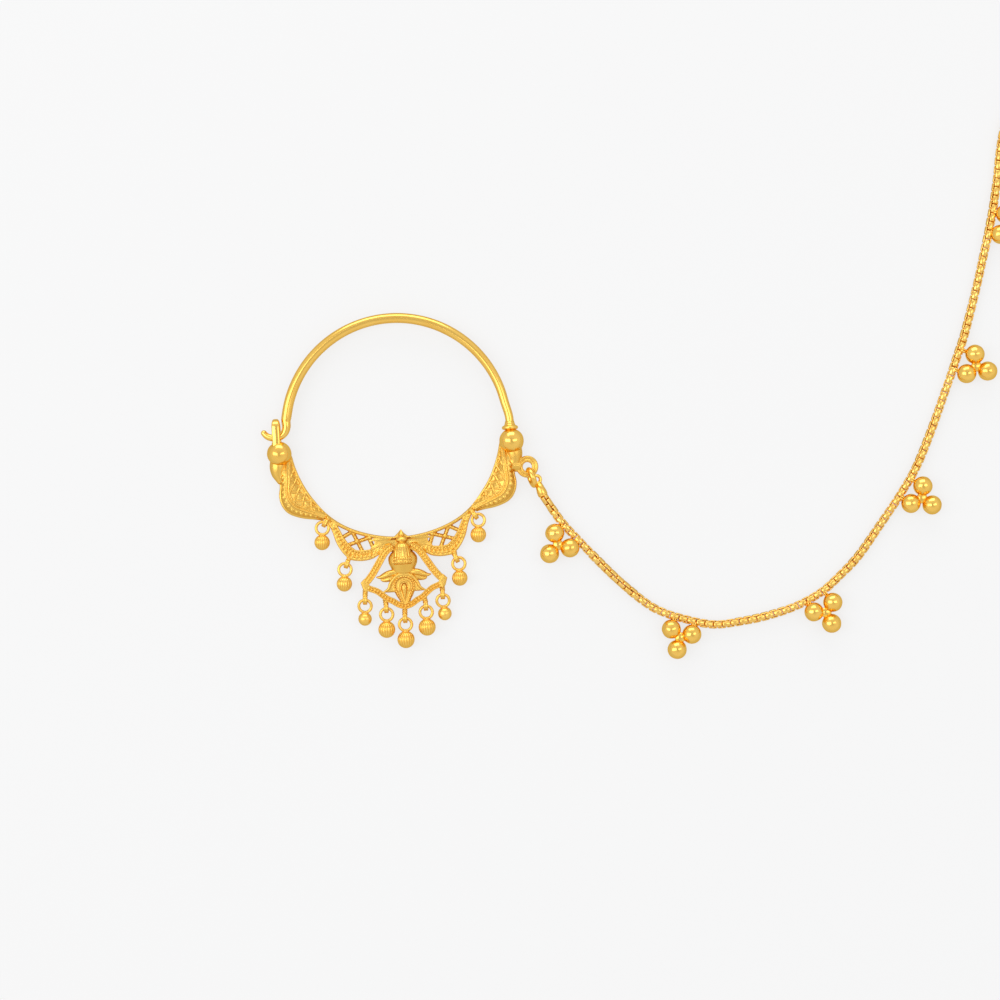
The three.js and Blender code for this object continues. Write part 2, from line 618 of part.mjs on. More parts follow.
// A ball with its ring, hanging from an eyelet and tipped so that the ball rests on the floor
function drop({ on, at, lean, hang, ball: radius }) {
  const height = on === "crescent" ? CRESCENT_EYELET_HEIGHT : PENDANT_EYELET_HEIGHT;
  const eye = spot(at, height);
  const ringMiddle = eye.clone().addScaledVector(downward(lean), DROP_RING_RADIUS);
  const reach = DROP_RING_RADIUS + DROP_RING_WIRE + radius - SOLDER_DEPTH;
  const ballMiddle = ringMiddle.clone().addScaledVector(downward(hang), reach);
  const loop = ring(ringMiddle, UP, DROP_RING_RADIUS, DROP_RING_WIRE, RING_STEPS, THIN_SIDES);
  const geometry = new THREE.SphereGeometry(radius, BALL_SIDES, BALL_ROWS);
  geometry.rotateZ(radians(hang)).translate(...ballMiddle.toArray());
  const whole = geometryOf(loop.add(solid(geometry)));
  const tip = Math.asin((height - radius) / eye.distanceTo(ballMiddle));
  whole.translate(...eye.clone().negate().toArray()).rotateX(tip);
  return whole.translate(...eye.toArray());
}

const material = (color, roughness) => new THREE.MeshStandardMaterial({ color, roughness, metalness: 1 });
const POLISHED = material(0xe8b23c, 0.22);
const CAST = material(0xdda233, 0.42);
const CHAIN_GOLD = material(0xe2ac3a, 0.3);

const part = new THREE.Group();
const noseRing = new THREE.Group();
noseRing.rotation.z = radians(RING_TURN);
noseRing.position.copy(new THREE.Vector3(0, -BACK_Y, 0).applyAxisAngle(UP, radians(RING_TURN)));
part.add(noseRing);

function place(group, name, geometry, finish) {
  const mesh = new THREE.Mesh(geometry, finish);
  mesh.name = name;
  group.add(mesh);
}

place(noseRing, "hoop_wire", geometryOf(hoopWire()), POLISHED);
place(noseRing, "catch_ball", geometryOf(catchBall()), POLISHED);
place(noseRing, "end_ball", geometryOf(endBall()), POLISHED);
place(noseRing, "crescent", geometryOf(crescent()), CAST);
place(noseRing, "pendant", geometryOf(pendant()), CAST);
DROPS.forEach((row, i) => place(noseRing, `drop_${i + 1}`, drop(row), POLISHED));

// The chain's line on the floor, before its clusters and end caps lift it
const flatLine = new THREE.CatmullRomCurve3(CHAIN_LINE.map((p) => spot(p)), false, "centripetal");
const flatLength = flatLine.getLength();

function nearestShare(point) {
  const count = 1500;
  let best = { share: 0, distance: Infinity };
  for (let i = 0; i <= count; i += 1) {
    const distance = flatLine.getPointAt(i / count).distanceTo(point);
    if (distance < best.distance) {
      best = { share: i / count, distance };
    }
  }
  return best.share;
}

function clusterBalls({ centre, far }) {
  return [0, 120, 240].map((turn) => {
    const a = radians(far + turn);
    return new THREE.Vector3(Math.cos(a), Math.sin(a), 0).multiplyScalar(CLUSTER_REACH).add(spot(centre));
  });
}

const held = CLUSTERS.flatMap((row) => clusterBalls(row).slice(1).map(nearestShare));

// The chain lies on the floor. The clusters' rings lift it where they hold on to it, and its end cap
// holds it higher.
function chainHeight(share) {
  const nearness = (at) => Math.exp(-(((share - at) * flatLength / LIFT_REACH) ** 2));
  const ends = Math.max(END_LIFT * nearness(0), FAR_LIFT * nearness(1));
  const lift = Math.max(CHAIN_LIFT * Math.max(...held.map(nearness)), ends);
  return 0.5 * CHAIN_WIDTH + FLOOR_GAP + lift;
}

const LINE_STEPS = 160;
const chainPoints = Array.from({ length: LINE_STEPS + 1 }, (_, i) => {
  const point = flatLine.getPointAt(i / LINE_STEPS);
  return point.setZ(chainHeight(i / LINE_STEPS));
});
const chainLine = new THREE.CatmullRomCurve3(chainPoints, false, "centripetal");

function chain() {
  const section = new THREE.Shape();
  for (let i = 0; i < CHAIN_SIDES; i += 1) {
    const a = ((i + 0.5) * 2 * Math.PI) / CHAIN_SIDES;
    const x = 0.5 * CHAIN_WIDTH * Math.cos(a);
    const y = 0.5 * CHAIN_WIDTH * Math.sin(a);
    section[i === 0 ? "moveTo" : "lineTo"](x, y);
  }
  section.closePath();
  return new THREE.ExtrudeGeometry(section, { steps: CHAIN_STEPS, extrudePath: chainLine });
}

function cluster(row) {
  const balls = clusterBalls(row).map((p) => p.setZ(CLUSTER_BALL));
  const parts = balls.map((p) => ball(CLUSTER_BALL, p, BALL_SIDES, BALL_ROWS));
  parts.push(ball(CLUSTER_BOSS, spot(row.centre, CLUSTER_BALL + CLUSTER_BOSS_LIFT), TURNED_SIDES, 4));
  for (const middle of balls.slice(1)) {
    const share = nearestShare(middle.clone().setZ(0));
    const at = flatLine.getPointAt(share).setZ(chainHeight(share));
    const along = flatLine.getTangentAt(share);
    const towards = middle.clone().sub(at).normalize();
    parts.push(ring(at, along, CLUSTER_RING_RADIUS, CLUSTER_RING_WIRE, RING_STEPS, THIN_SIDES));
    const rimPoint = at.clone().addScaledVector(towards, CLUSTER_RING_RADIUS);
    parts.push(cone(rimPoint, middle, CLUSTER_RING_WIRE, CLUSTER_SOLDER, THIN_SIDES));
  }
  return joined(parts);
}

// The oval jump ring stands steeply, so that it is seen as an oval from above
function linkFrame() {
  const along = spot(LINK.to).sub(spot(LINK.from));
  const level = new THREE.Vector3(-along.y, along.x, 0).normalize();
  const pitch = radians(LINK.pitch);
  const steep = level.multiplyScalar(Math.cos(pitch)).addScaledVector(UP, Math.sin(pitch));
  return { along, steep };
}

function chainRing() {
  const { along, steep } = linkFrame();
  const middle = spot(LINK.from, LINK.height).addScaledVector(along, 0.5);
  const axis = along.clone().normalize().cross(steep);
  return ring(middle, axis, 0.5 * along.length(), LINK.wire, LINK_STEPS, WIRE_SIDES);
}

// A plain turned cap on the chain's end, with an eye
function endCap(chainEnd, eyeMiddle, eyeAxis) {
  const along = eyeMiddle.clone().sub(chainEnd).normalize();
  const foot = chainEnd.clone().addScaledVector(along, FIT_GAP);
  const head = eyeMiddle.clone().addScaledVector(along, -CAP_EYE_RADIUS);
  const eye = ring(eyeMiddle, eyeAxis, CAP_EYE_RADIUS, CAP_EYE_WIRE, RING_STEPS, WIRE_SIDES);
  return eye.add(cone(foot, head, CAP_RADIUS, 0.8 * CAP_RADIUS, BALL_SIDES));
}

function chainEndCap() {
  return endCap(chainLine.getPointAt(0), spot(LINK.to, LINK.height), linkFrame().steep);
}

// Where the far cap's eye is, and the level direction that the chain's end and the hook share
function farEnd() {
  const end = chainLine.getPointAt(1);
  const along = chainLine.getTangentAt(1).setZ(0).normalize();
  return { end, along, eye: end.clone().addScaledVector(along, FAR_CAP_LENGTH) };
}

function farCap() {
  const { end, along, eye } = farEnd();
  return endCap(end, eye, new THREE.Vector3(-along.y, along.x, 0));
}

// A plain wire hook for the hair: a level ring, a straight shank, and a bend back to its tip
function hairHook() {
  const { along, eye } = farEnd();
  const side = new THREE.Vector3(along.y, -along.x, 0);
  const ringMiddle = eye.clone().addScaledVector(along, HOOK_RING_RADIUS);
  const loop = ring(ringMiddle, UP, HOOK_RING_RADIUS, HOOK_RING_WIRE, RING_STEPS, WIRE_SIDES);
  const low = HAIR_HOOK_WIRE + FLOOR_GAP;
  const at = (forward, across, z) => ringMiddle.clone()
    .addScaledVector(along, forward).addScaledVector(side, across).setZ(z);
  const line = [at(HOOK_RING_RADIUS, 0, eye.z), at(HOOK_RING_RADIUS + 1, 0, 0.6 * (eye.z + low)),
    at(HOOK_RING_RADIUS + 2.2, 0, low)];
  for (let turn = 0; turn <= 180; turn += 30) {
    const forward = HAIR_HOOK_LENGTH + HAIR_HOOK_BEND * Math.sin(radians(turn));
    line.push(at(forward, HAIR_HOOK_BEND * (1 - Math.cos(radians(turn))), low));
  }
  line.push(at(HAIR_HOOK_LENGTH - HAIR_HOOK_TIP, 2.3 * HAIR_HOOK_BEND, low));
  const radii = line.map((_, i) => (i + 1 < line.length ? HAIR_HOOK_WIRE : 0.6 * HAIR_HOOK_WIRE));
  return loop.add(wire(line, WIRE_SIDES, radii));
}

place(part, "chain", chain(), CHAIN_GOLD);
CLUSTERS.forEach((row, i) => place(part, `cluster_${i + 1}`, geometryOf(cluster(row)), POLISHED));
place(part, "chain_ring", geometryOf(chainRing()), POLISHED);
place(part, "chain_end", geometryOf(chainEndCap()), POLISHED);
place(part, "far_end", geometryOf(farCap()), POLISHED);
place(part, "hair_hook", geometryOf(hairHook()), POLISHED);

export default part;
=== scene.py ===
"""Looks of a gold nose ring with its hair chain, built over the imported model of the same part."""

import math

import bpy
import numpy as np
from mathutils import Matrix, Vector, noise


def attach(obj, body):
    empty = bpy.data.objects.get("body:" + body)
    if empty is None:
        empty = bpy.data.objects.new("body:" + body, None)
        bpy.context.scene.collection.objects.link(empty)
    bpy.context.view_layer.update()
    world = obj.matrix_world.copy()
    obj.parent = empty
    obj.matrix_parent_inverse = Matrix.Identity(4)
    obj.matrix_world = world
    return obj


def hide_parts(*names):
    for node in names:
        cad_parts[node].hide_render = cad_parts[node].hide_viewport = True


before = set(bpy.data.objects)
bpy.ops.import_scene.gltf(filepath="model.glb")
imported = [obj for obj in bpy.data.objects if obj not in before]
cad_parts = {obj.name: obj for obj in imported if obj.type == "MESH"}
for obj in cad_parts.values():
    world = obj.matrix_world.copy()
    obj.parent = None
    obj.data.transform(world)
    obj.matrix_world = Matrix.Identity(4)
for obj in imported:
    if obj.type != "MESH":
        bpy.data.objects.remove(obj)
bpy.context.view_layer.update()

BODY = "root"

bl_info = {
    "name": "Nose ring with hair chain",
    "version": (1, 0, 0),
    "blender": (4, 5, 0),
    "location": "3D View > Sidebar > Nose Ring",
    "description": "Builds the cast nose ring, its pendant and drops, and the hair chain",
    "category": "Object",
}

# The first sizes and places are in the ring's own plane, in millimetres, with +Y towards the top of the
# hoop and 0, 0 near its middle. The ring lies turned, with the part's origin under the pendant's dome.
MM = 0.001
RING_TURN = math.radians(3.5)
BACK_Y = -13.6
FROM_RING = Matrix.Scale(MM, 4) @ Matrix.Rotation(RING_TURN, 4, "Z") @ Matrix.Translation((0, -BACK_Y, 0))
FROM_FLOOR = Matrix.Scale(MM, 4)

MID_HEIGHT = 1.43
HOOP_CENTRE = (0.34, 0.07)
WIRE_FOOT = {"place": (13.84, 0.78), "radius": 0.5, "full_at": 60}
WIRE_TIP = (0.97, 0.88, 0.7, 0.4)
HOOP_ANGLES = range(10, 171, 8)
BALL_PLACE = (13.97, -2.16)
CATCH_BALL_PLACE = (-13.9, -2.03)
COLLAR_PLACE = (13.87, -0.5)
COLLAR = (
    # radius, height above the collar's place
    (0, -0.34), (0.62, -0.34), (0.9, -0.26), (0.98, -0.1), (0.95, 0.06), (0.8, 0.16), (0.66, 0.24),
    (0.6, 0.42), (0.54, 0.7), (0, 0.72),
)
CATCH_LOOP = {"x": -14.1, "half_height": 0.82, "reach": 1.16, "root": -1.4, "narrowing": 0.3}
CATCH_SECTION = (
    # across the strap, and out of it
    (-0.47, 0), (-0.44, 0.11), (-0.3, 0.18), (0, 0.21), (0.3, 0.18), (0.44, 0.11), (0.47, 0),
    (0.44, -0.11), (0.3, -0.17), (-0.3, -0.17), (-0.44, -0.11),
)
CATCH_FOOT = {"x": -14.08, "above_ball": 1.28, "radius": 0.5, "wire": 0.16}
HOOK = (
    # x, y, wire radius
    (-12.86, 1.8, 0.55), (-12.86, 1.15, 0.52), (-13.06, 0.55, 0.48), (-13.47, 0.12, 0.44),
    (-14.05, -0.1, 0.42), (-14.65, -0.08, 0.41), (-15.16, 0.1, 0.39), (-15.5, 0.42, 0.36),
    (-15.76, 0.84, 0.33),
)

EDGE = {"radius": 12.74, "extra_below": 0.05, "bay": 0.19, "bay_angle": 36, "bay_spread": 16}
WING = (
    # degrees from straight down, outer radius, crown height, share of the width inside the line
    (79, 14.8, 1.3, 0.12), (76.5, 15.1, 1.6, 0.2), (72.5, 15.1, 2.0, 0.34), (69.5, 15.04, 2.16, 0.48),
    (66.5, 15.28, 2.2, 0.57), (63.5, 15.83, 2.2, 0.62), (60.5, 16.15, 2.16, 0.63),
    (57.5, 16.22, 2.1, 0.63), (54.8, 16.04, 2.0, 0.61), (52, 15.6, 1.86, 0.56), (49, 15.02, 1.66, 0.52),
    (46, 14.38, 1.42, 0.5), (43, 13.88, 1.2, 0.5), (40.3, 13.68, 1.02, 0.5),
)
FIELD_PROFILE = ((0, 0.4), (0.1, 0.5), (0.25, 0.52), (0.6, 0.76), (1, 0.94))
BORDER_PROFILE = ((0, 0.94), (0.15, 0.93), (0.45, 0.88), (0.75, 0.7), (0.92, 0.48), (1, 0.26))
FIELD_LINES = {"low": 43.5, "high": 74, "slant": 1.4}
FIELD_FACETS = {"low": 45, "high": 72, "share": 0.5, "half_share": 0.25, "half_step": 0.34}
NECK = (
    # x, y, height, radius
    (14.06, -2.8, 1.0, 1.0), (14.14, -3.3, 1.02, 1.02), (14.2, -3.8, 1.05, 0.98), (14.18, -4.4, 1.1, 0.84),
    (14.05, -5.0, 1.22, 0.6), (13.95, -5.6, 1.38, 0.3),
)
NECK_STEPS = 6
STRIP_SECTION = (
    # across a strip, in widths, and up, in heights
    (-0.5, 0), (-0.5, 0.7), (-0.42, 0.86), (-0.2, 1), (0.2, 1), (0.42, 0.86), (0.5, 0.7), (0.5, 0),
)
RIM = {"inset": 0.21, "width": 0.42, "height": 1.0, "half_angle": 42.5}
SCALLOP = (
    # degrees from straight down, radius of the outer edge
    (39.8, 13.68), (37, 13.95), (34, 14.45), (31, 15.14), (28, 15.7), (25, 16.15), (22, 16.42),
    (19, 16.3), (16, 16.05), (13, 15.65), (10.5, 15.1), (7, 14.75),
)
SCALLOP_WIDTH = ((0, 0.62), (0.12, 0.82), (0.3, 1.1), (0.5, 1.28), (0.75, 1.2), (1, 0.95))
SCALLOP_HEIGHT = 0.84
LATTICE = (
    ((6.92, -12.44), (5.75, -11.85)), ((5.85, -11.75), (4.7, -14.35)),
    ((6.55, -13.5), (3.5, -12.62)), ((3.86, -12.7), (3.4, -14.0)),
)
LATTICE_BAR = {"height": 0.5, "radius": 0.25, "tall": 1.3}
LATTICE_GRAIN = {"height": 0.74, "radius": 0.15}
LATTICE_BALLS = (
    # x, y, z, radius where the bars meet
    (5.3, -13.06, 0.76, 0.32), (3.75, -12.72, 0.74, 0.26),
)
MIDDLE = ((13.5, 15.1), (8, 14.75), (0, 14.6), (-8, 14.75), (-13.5, 15.1))
GABLE = (
    (-1.25, -13.05), (-0.75, -12.72), (-0.4, -12.42), (0, -11.98), (0.4, -12.42), (0.75, -12.72),
    (1.25, -13.05),
)
SIDE_LEAVES = (
    # x, y, half width from the dome outwards
    ((0.45, -13.15, 0.16), (1.2, -13.0, 0.26), (2.2, -12.98, 0.29), (3.2, -13.02, 0.2), (3.75, -13.1, 0.06)),
    ((0.7, -13.6, 0.14), (1.5, -13.5, 0.25), (2.4, -13.55, 0.29), (3.2, -13.78, 0.2), (3.75, -14.0, 0.06)),
    ((1.1, -14.15, 0.12), (1.8, -13.98, 0.22), (2.6, -14.08, 0.24), (3.2, -14.3, 0.12)),
)

PENDANT_BACK = 0.92
PENDANT_SHIFT = 0.08
STRAP = ((1.2, -13.95), (2.1, -14.65), (2.92, -15.9), (3.6, -16.95), (4.22, -17.75), (4.72, -18.2))
LOWER_EDGE = (
    (4.72, -18.2), (4.35, -18.72), (3.35, -19.15), (2.7, -19.65), (2.1, -20.15), (1.4, -20.52),
    (0.75, -20.95), (0, -21.2),
)
CORNER = ((5.2, -18.05), (4.75, -17.6), (4.2, -18.3), (4.5, -19.35), (4.95, -18.9))
UPPER_LOBE = (
    (0.6, -17.15, 0.3), (1.2, -17.1, 0.4), (1.8, -17.2, 0.42), (2.35, -17.4, 0.36), (2.85, -17.55, 0.22),
    (3.3, -17.5, 0.08),
)
LOWER_LOBE = (
    (0.8, -17.65, 0.3), (1.4, -17.72, 0.36), (1.9, -17.83, 0.34), (2.4, -17.92, 0.24), (2.8, -17.86, 0.08),
)
LOTUS = (
    (0, -17.35), (1.05, -17.6), (1.62, -18.3), (1.85, -18.85), (2.6, -19.38), (1.75, -19.42),
    (1.2, -19.42), (0.95, -19.95), (0.7, -20.35), (0.45, -20.9), (0, -21.1),
)
LOTUS_RIM = ((2.5, -19.36), (1.9, -18.95), (1.62, -18.35), (1.12, -17.72), (0.55, -17.42), (0, -17.34))
HORSESHOE = {"y": -18.75, "radius": 0.64, "wire": 0.13, "height": 0.84}
HORSESHOE_FOOT = ((0.55, -19.35, 0.8), (0.62, -19.05, 0.84))
HORSESHOE_DROP = (
    (0, -18.4), (0.2, -18.5), (0.32, -18.75), (0.34, -19.05), (0.26, -19.5), (0.14, -20.0), (0, -20.5),
)
LOTUS_BEADS = {"y": -18.72, "radius": 1.14, "bead": 0.145, "height": 0.7}
LOTUS_BEADS_FOOT = ((0.3, -20.75, 0.66), (0.55, -20.2, 0.68), (0.8, -19.65, 0.7))
BUD = (
    (0, -11.9), (0.12, -12.1), (0.3, -12.4), (0.42, -12.6), (0.32, -12.75), (0.6, -12.92), (0.74, -13.12),
    (0.7, -13.32), (0.48, -13.48), (0, -13.7),
)
POT = (
    (0, -14.0), (0.75, -14.2), (1.4, -14.75), (1.7, -15.2), (1.76, -15.55), (1.7, -16.0), (1.45, -16.55),
    (1.2, -17.1), (0.7, -17.45), (0, -17.5),
)
BELL = (
    (0, -13.36), (0.34, -13.44), (0.66, -13.68), (0.9, -14.02), (1.05, -14.42), (1.14, -14.9), (1.17, -15.2),
    (0, -15.3),
)
BELL_BAND = ((0, -15.2), (1.21, -15.25), (1.25, -15.35), (1.25, -16.0), (1.16, -16.1), (0, -16.15))
BELL_BEADS = {"rows": (-15.46, -15.86), "radius": 1.24, "bead": 0.14}
TURNED_MID = 1.15
BELL_FORWARD = 0.26

EYELET_HEIGHT = {"crescent": 0.95, "pendant": 1.2}
EYELET = {"radius": 0.45, "wire": 0.15, "stem": 0.24, "turn": 0.25, "turn_wire": 0.1, "turn_step": 0.24}
DROP_RING = {"radius": 0.75, "wire": 0.18, "sunk": 0.16}
DROP_FLUTE = {"depth": 0.07, "sharp": 0.5}
DROP_GROOVE = {"depth": 0.03, "at": 38, "width": 4.5}
DROP_CAP = {"from": 0.72, "over": 0.06, "radius": 0.99}
DROP_NECK = (0.2, 0.28, 0.32, 0.36, 0.36)
DROP_COLLAR = {"radius": 0.34, "wire": 0.08}
DROPS = (
    # carrier, eyelet, stem's root, lean and hang in degrees, ball radius, fluted
    ("crescent", (-8.94, -10.61), (-8.45, -10.0), -31, -4.5, 0.93, True),
    ("crescent", (-6.64, -15.68), (-6.3, -15.0), -22, -6, 0.93, True),
    ("pendant", (-4.72, -20.14), (-4.6, -18.8), -4, -4, 0.81, False),
    ("pendant", (-2.25, -21.3), (-2.3, -20.1), 0, -3, 1.02, True),
    ("pendant", (-0.07, -22.62), (0, -21.1), 0, -1.5, 1.04, True),
    ("pendant", (2.5, -21.3), (2.35, -20.1), 0, 0, 1.03, True),
    ("pendant", (4.6, -20.05), (4.6, -18.8), 0, 4, 0.82, False),
    ("crescent", (6.48, -15.8), (6.3, -15.0), 22, 0, 0.94, True),
    ("crescent", (9.02, -10.78), (8.45, -10.0), 31, -3.5, 0.95, True),
)
EYE_PLACE = (15.66, -5.38, 1.35)
EYE_LOOPS = {"radii": (0.74, 1.13), "wire": 0.2}
EYE_SOLDER = ((13.9, -5.1, 1.3), (14.9, -5.3, 1.3))
EYE_SOLDER_RADII = (0.6, 0.45)
EYE_FILLET = {"place": (14.3, -5.5, 1.2), "radius": 0.42}

# The rest is in the part's own frame, in millimetres. The chain's line is the solid chain's own, but
# for its start, which lies a little earlier, inside the end cap. The links lie to the outside of it.
CHAIN_LINE = (
    (17.14, 5.74), (19.25, 2.72), (21.7, 0.05), (23.98, -2.3), (26.26, -4.49), (29.02, -6.79),
    (31.06, -8.03), (33.76, -8.94), (37.52, -9.68), (41.02, -9.26), (44.26, -8.54), (47.46, -7.43),
    (50.38, -5.8), (52.78, -3.68), (54.82, -1.5), (57.1, 1.74), (59.7, 5.65), (61.85, 9.37),
    (63.7, 13.9), (65.36, 18.61), (66.7, 22.61), (67.66, 25.49), (69.0, 30.7), (70.1, 35.77),
    (70.85, 39.61), (71.44, 43.38), (71.83, 47.0), (72.3, 49.6), (73.2, 51.9), (74.5, 53.8),
)
CHAIN_ASIDE = 0.1
CHAIN_LOW = 0.56
CLUSTER_LIFT = 0.26
START_LIFT = 0.57
FAR_LIFT = 0.29
LIFT_REACH = 2.2
ROLL = {
    "angle": 45, "start_reach": 2.6, "second": 12.6, "second_reach": 3.6, "sway": 0.12,
    "sway_length": 2.3,
}
CLUSTERS = (
    # middle, and the direction of the ball that hangs away from the chain, in degrees
    ((18.83, -0.22), -134), ((33.46, -11.33), -104), ((50.97, -8.32), -63), ((62.46, 5.4), -34),
    ((68.99, 21.2), -23), ((72.88, 38.1), -13.5),
)
LINK_CORNER = 0.1
BAND_CORNER = 0.42
CLUSTER_DISC = {"radius": 0.66, "flatness": 0.45, "lift": 0.02}
CLUSTER_RING = {"radius": 0.36, "wire": 0.1, "apart": 0.12, "out": 0.42}
LINK = {
    "from": (15.3, 8.78), "to": (15.96, 6.96), "half_width": 0.88, "wire": 0.34, "pitch": 79,
    "height": 1.38,
}
CAP_EYE = {"place": (16.24, 7.62), "radius": 0.47, "wire": 0.2}
CAP = (
    # distance from the chain's end, radius
    (0.03, 0.52), (0.12, 0.58), (0.3, 0.6), (0.6, 0.58), (0.9, 0.52),
)
CAP_FOOT = {"before_eye": 0.5, "radius": 0.42}
CAP_HEM = {"radius": 0.54, "wire": 0.06}
FAR_CAP_LENGTH = 1.6
HOOK_RING = {"radius": 0.8, "wire": 0.2}
HAIR_HOOK = {"wire": 0.36, "length": 7, "bend": 1.3, "tip": 3.2, "above_floor": 0.005}

# Gold: clouds to the metre, and the depth of its grain in millimetres
CLOUD_SCALE = 420
GRAIN_DEPTH = 0.03

# The studio
SOFT_BOXES = (
    # name, direction, width, height, brightness
    ("box_left", (-0.58, 0.02, 0.81), 0.24, 0.44, 2.2),
    ("box_right", (0.5, 0.12, 0.86), 0.14, 0.3, 1.7),
    ("box_back", (-0.08, 0.92, 0.36), 0.46, 0.24, 2.2),
)
BOX_DISTANCE = 0.5
ROOM_LEVELS = (
    # from straight below, 0, to straight above, 1, and the brightness there
    (0.0, 1.0), (0.46, 1.08), (0.54, 1.2), (0.8, 1.3), (0.93, 1.2), (1.0, 0.9),
)
FLOOR_HALF = 1.5


class RingSizes(bpy.types.PropertyGroup):
    hoop_radius: bpy.props.FloatProperty(
        name="Hoop radius", description="Radius of the hoop's centre line, in millimetres", default=13.31)
    wire_radius: bpy.props.FloatProperty(
        name="Wire radius", description="Thickest radius of the hoop wire, in millimetres", default=0.6)
    ball_radius: bpy.props.FloatProperty(
        name="Ball radius", description="Radius of the two end balls, in millimetres", default=1.47)
    dents: bpy.props.FloatProperty(
        name="Dents", description="Depth of the shallow dents in hollow balls, in millimetres", default=0.026)
    flutes: bpy.props.IntProperty(
        name="Flutes", description="Number of flutes round a drop's ball", default=18)


class CastSizes(bpy.types.PropertyGroup):
    detail: bpy.props.FloatProperty(
        name="Finest detail", description="Size of the finest cast detail, in millimetres", default=0.042)
    soften: bpy.props.IntProperty(
        name="Softening", description="Passes that round the cast relief", default=2)
    ridge: bpy.props.FloatProperty(
        name="Ridge radius", description="Radius of the thin raised lines, in millimetres", default=0.095)
    grain: bpy.props.FloatProperty(
        name="Grain radius", description="Radius of the grains on the borders, in millimetres", default=0.2)
    lattice_step: bpy.props.FloatProperty(
        name="Lattice step", description="Distance between lattice lines on a wing, in millimetres",
        default=1.2)


class ChainSizes(bpy.types.PropertyGroup):
    link_size: bpy.props.FloatProperty(
        name="Link size", description="Outside width of a square link, in millimetres", default=0.98)
    link_length: bpy.props.FloatProperty(
        name="Link length", description="Outside length of a link along the chain, in millimetres",
        default=1.01)
    pitch: bpy.props.FloatProperty(
        name="Pitch", description="Distance from link to link, in millimetres", default=0.53)
    band_width: bpy.props.FloatProperty(
        name="Band width", description="Width of the flat strip that a link is bent from, in millimetres",
        default=0.59)
    band_thickness: bpy.props.FloatProperty(
        name="Band thickness", description="Thickness of that strip, in millimetres", default=0.19)
    cluster_ball: bpy.props.FloatProperty(
        name="Cluster ball radius", description="Radius of the balls in a cluster, in millimetres",
        default=1.15)
    cluster_reach: bpy.props.FloatProperty(
        name="Cluster reach", description="From a cluster's middle to its balls' middles, in millimetres",
        default=1.46)


class GoldLooks(bpy.types.PropertyGroup):
    polished: bpy.props.FloatVectorProperty(
        name="Polished gold", description="Colour of the polished wire and balls", subtype="COLOR",
        default=(0.93, 0.59, 0.135))
    cast: bpy.props.FloatVectorProperty(
        name="Cast gold", description="Colour of the cast crescent and pendant", subtype="COLOR",
        default=(0.82, 0.51, 0.11))
    links: bpy.props.FloatVectorProperty(
        name="Link gold", description="Colour of the chain's links", subtype="COLOR",
        default=(0.94, 0.6, 0.16))
    # Painted shade: this darker colour is mixed into the gold in its hollows, where shade falls, and also by
    # the random haze.
    painted_shade_and_haze: bpy.props.FloatVectorProperty(
        name="Recess gold", description="Deeper colour in recesses and thin haze", subtype="COLOR",
        default=(0.8, 0.4, 0.05))
    roughness: bpy.props.FloatProperty(
        name="Roughness", description="Roughness of the polished gold", default=0.17, subtype="FACTOR")


class StudioSizes(bpy.types.PropertyGroup):
    lens: bpy.props.FloatProperty(
        name="Lens", description="Focal length of the camera, in millimetres", default=85)
    view_width: bpy.props.FloatProperty(
        name="View width", description="Width of the floor that the picture shows", default=0.1204,
        unit="LENGTH")
    view_x: bpy.props.FloatProperty(
        name="View middle x", description="Middle of the picture, from the part's origin", default=0.01186,
        unit="LENGTH")
    view_y: bpy.props.FloatProperty(
        name="View middle y", description="Middle of the picture, from the part's origin", default=0.00517,
        unit="LENGTH")
    room_light: bpy.props.FloatProperty(
        name="Room light", description="Strength of the even light from all round", default=0.72)
    box_light: bpy.props.FloatProperty(
        name="Soft box light", description="Brightness of the soft boxes against the room", default=1.0)
    floor_colour: bpy.props.FloatVectorProperty(
        name="Floor colour", description="Colour of the white floor", subtype="COLOR",
        default=(0.15, 0.15, 0.1515))
    floor_glow: bpy.props.FloatProperty(
        name="Floor glow", description="Light that comes through the floor", default=0.745)


def sizes(group):
    """The scene's own values of a group of sizes."""
    return getattr(bpy.context.scene, group)


# Lines and solids. A solid is a pair: an array of points, and a list of faces.

def curve_through(points, steps=8):
    """Points along a smooth line through the given ones."""
    p = np.array([tuple(q) + (0.0,) * (3 - len(q)) for q in points], float)
    p = np.vstack([2 * p[0] - p[1], p, 2 * p[-1] - p[-2]])
    t = np.linspace(0, 1, steps, endpoint=False)[:, None]
    pieces = []
    for a, b, c, d in zip(p, p[1:], p[2:], p[3:]):
        pieces.append(0.5 * (2 * b + (c - a) * t + (2 * a - 5 * b + 4 * c - d) * t**2
                             + (3 * b - a - 3 * c + d) * t**3))
    return np.vstack(pieces + [p[-2:-1]])


def smooth_values(values, steps=8):
    """One value at each point that curve_through makes."""
    return curve_through([(value,) for value in values], steps)[:, 0]


def evenly(line, spacing):
    """The same line with its points evenly spaced, and the distance along it at each."""
    line = np.array(line, float)
    gone = np.concatenate([[0], np.cumsum(np.linalg.norm(np.diff(line, axis=0), axis=1))])
    count = max(2, int(round(gone[-1] / spacing)) + 1)
    at = np.linspace(0, gone[-1], count)
    return np.stack([np.interp(at, gone, line[:, i]) for i in range(3)], 1), at


def directions(line):
    """Unit directions along a line, to its side and to its top."""
    along = np.gradient(line, axis=0)
    along /= np.linalg.norm(along, axis=1)[:, None]
    side = np.cross((0, 0, 1), along)
    side /= np.linalg.norm(side, axis=1)[:, None]
    return along, side, np.cross(along, side)


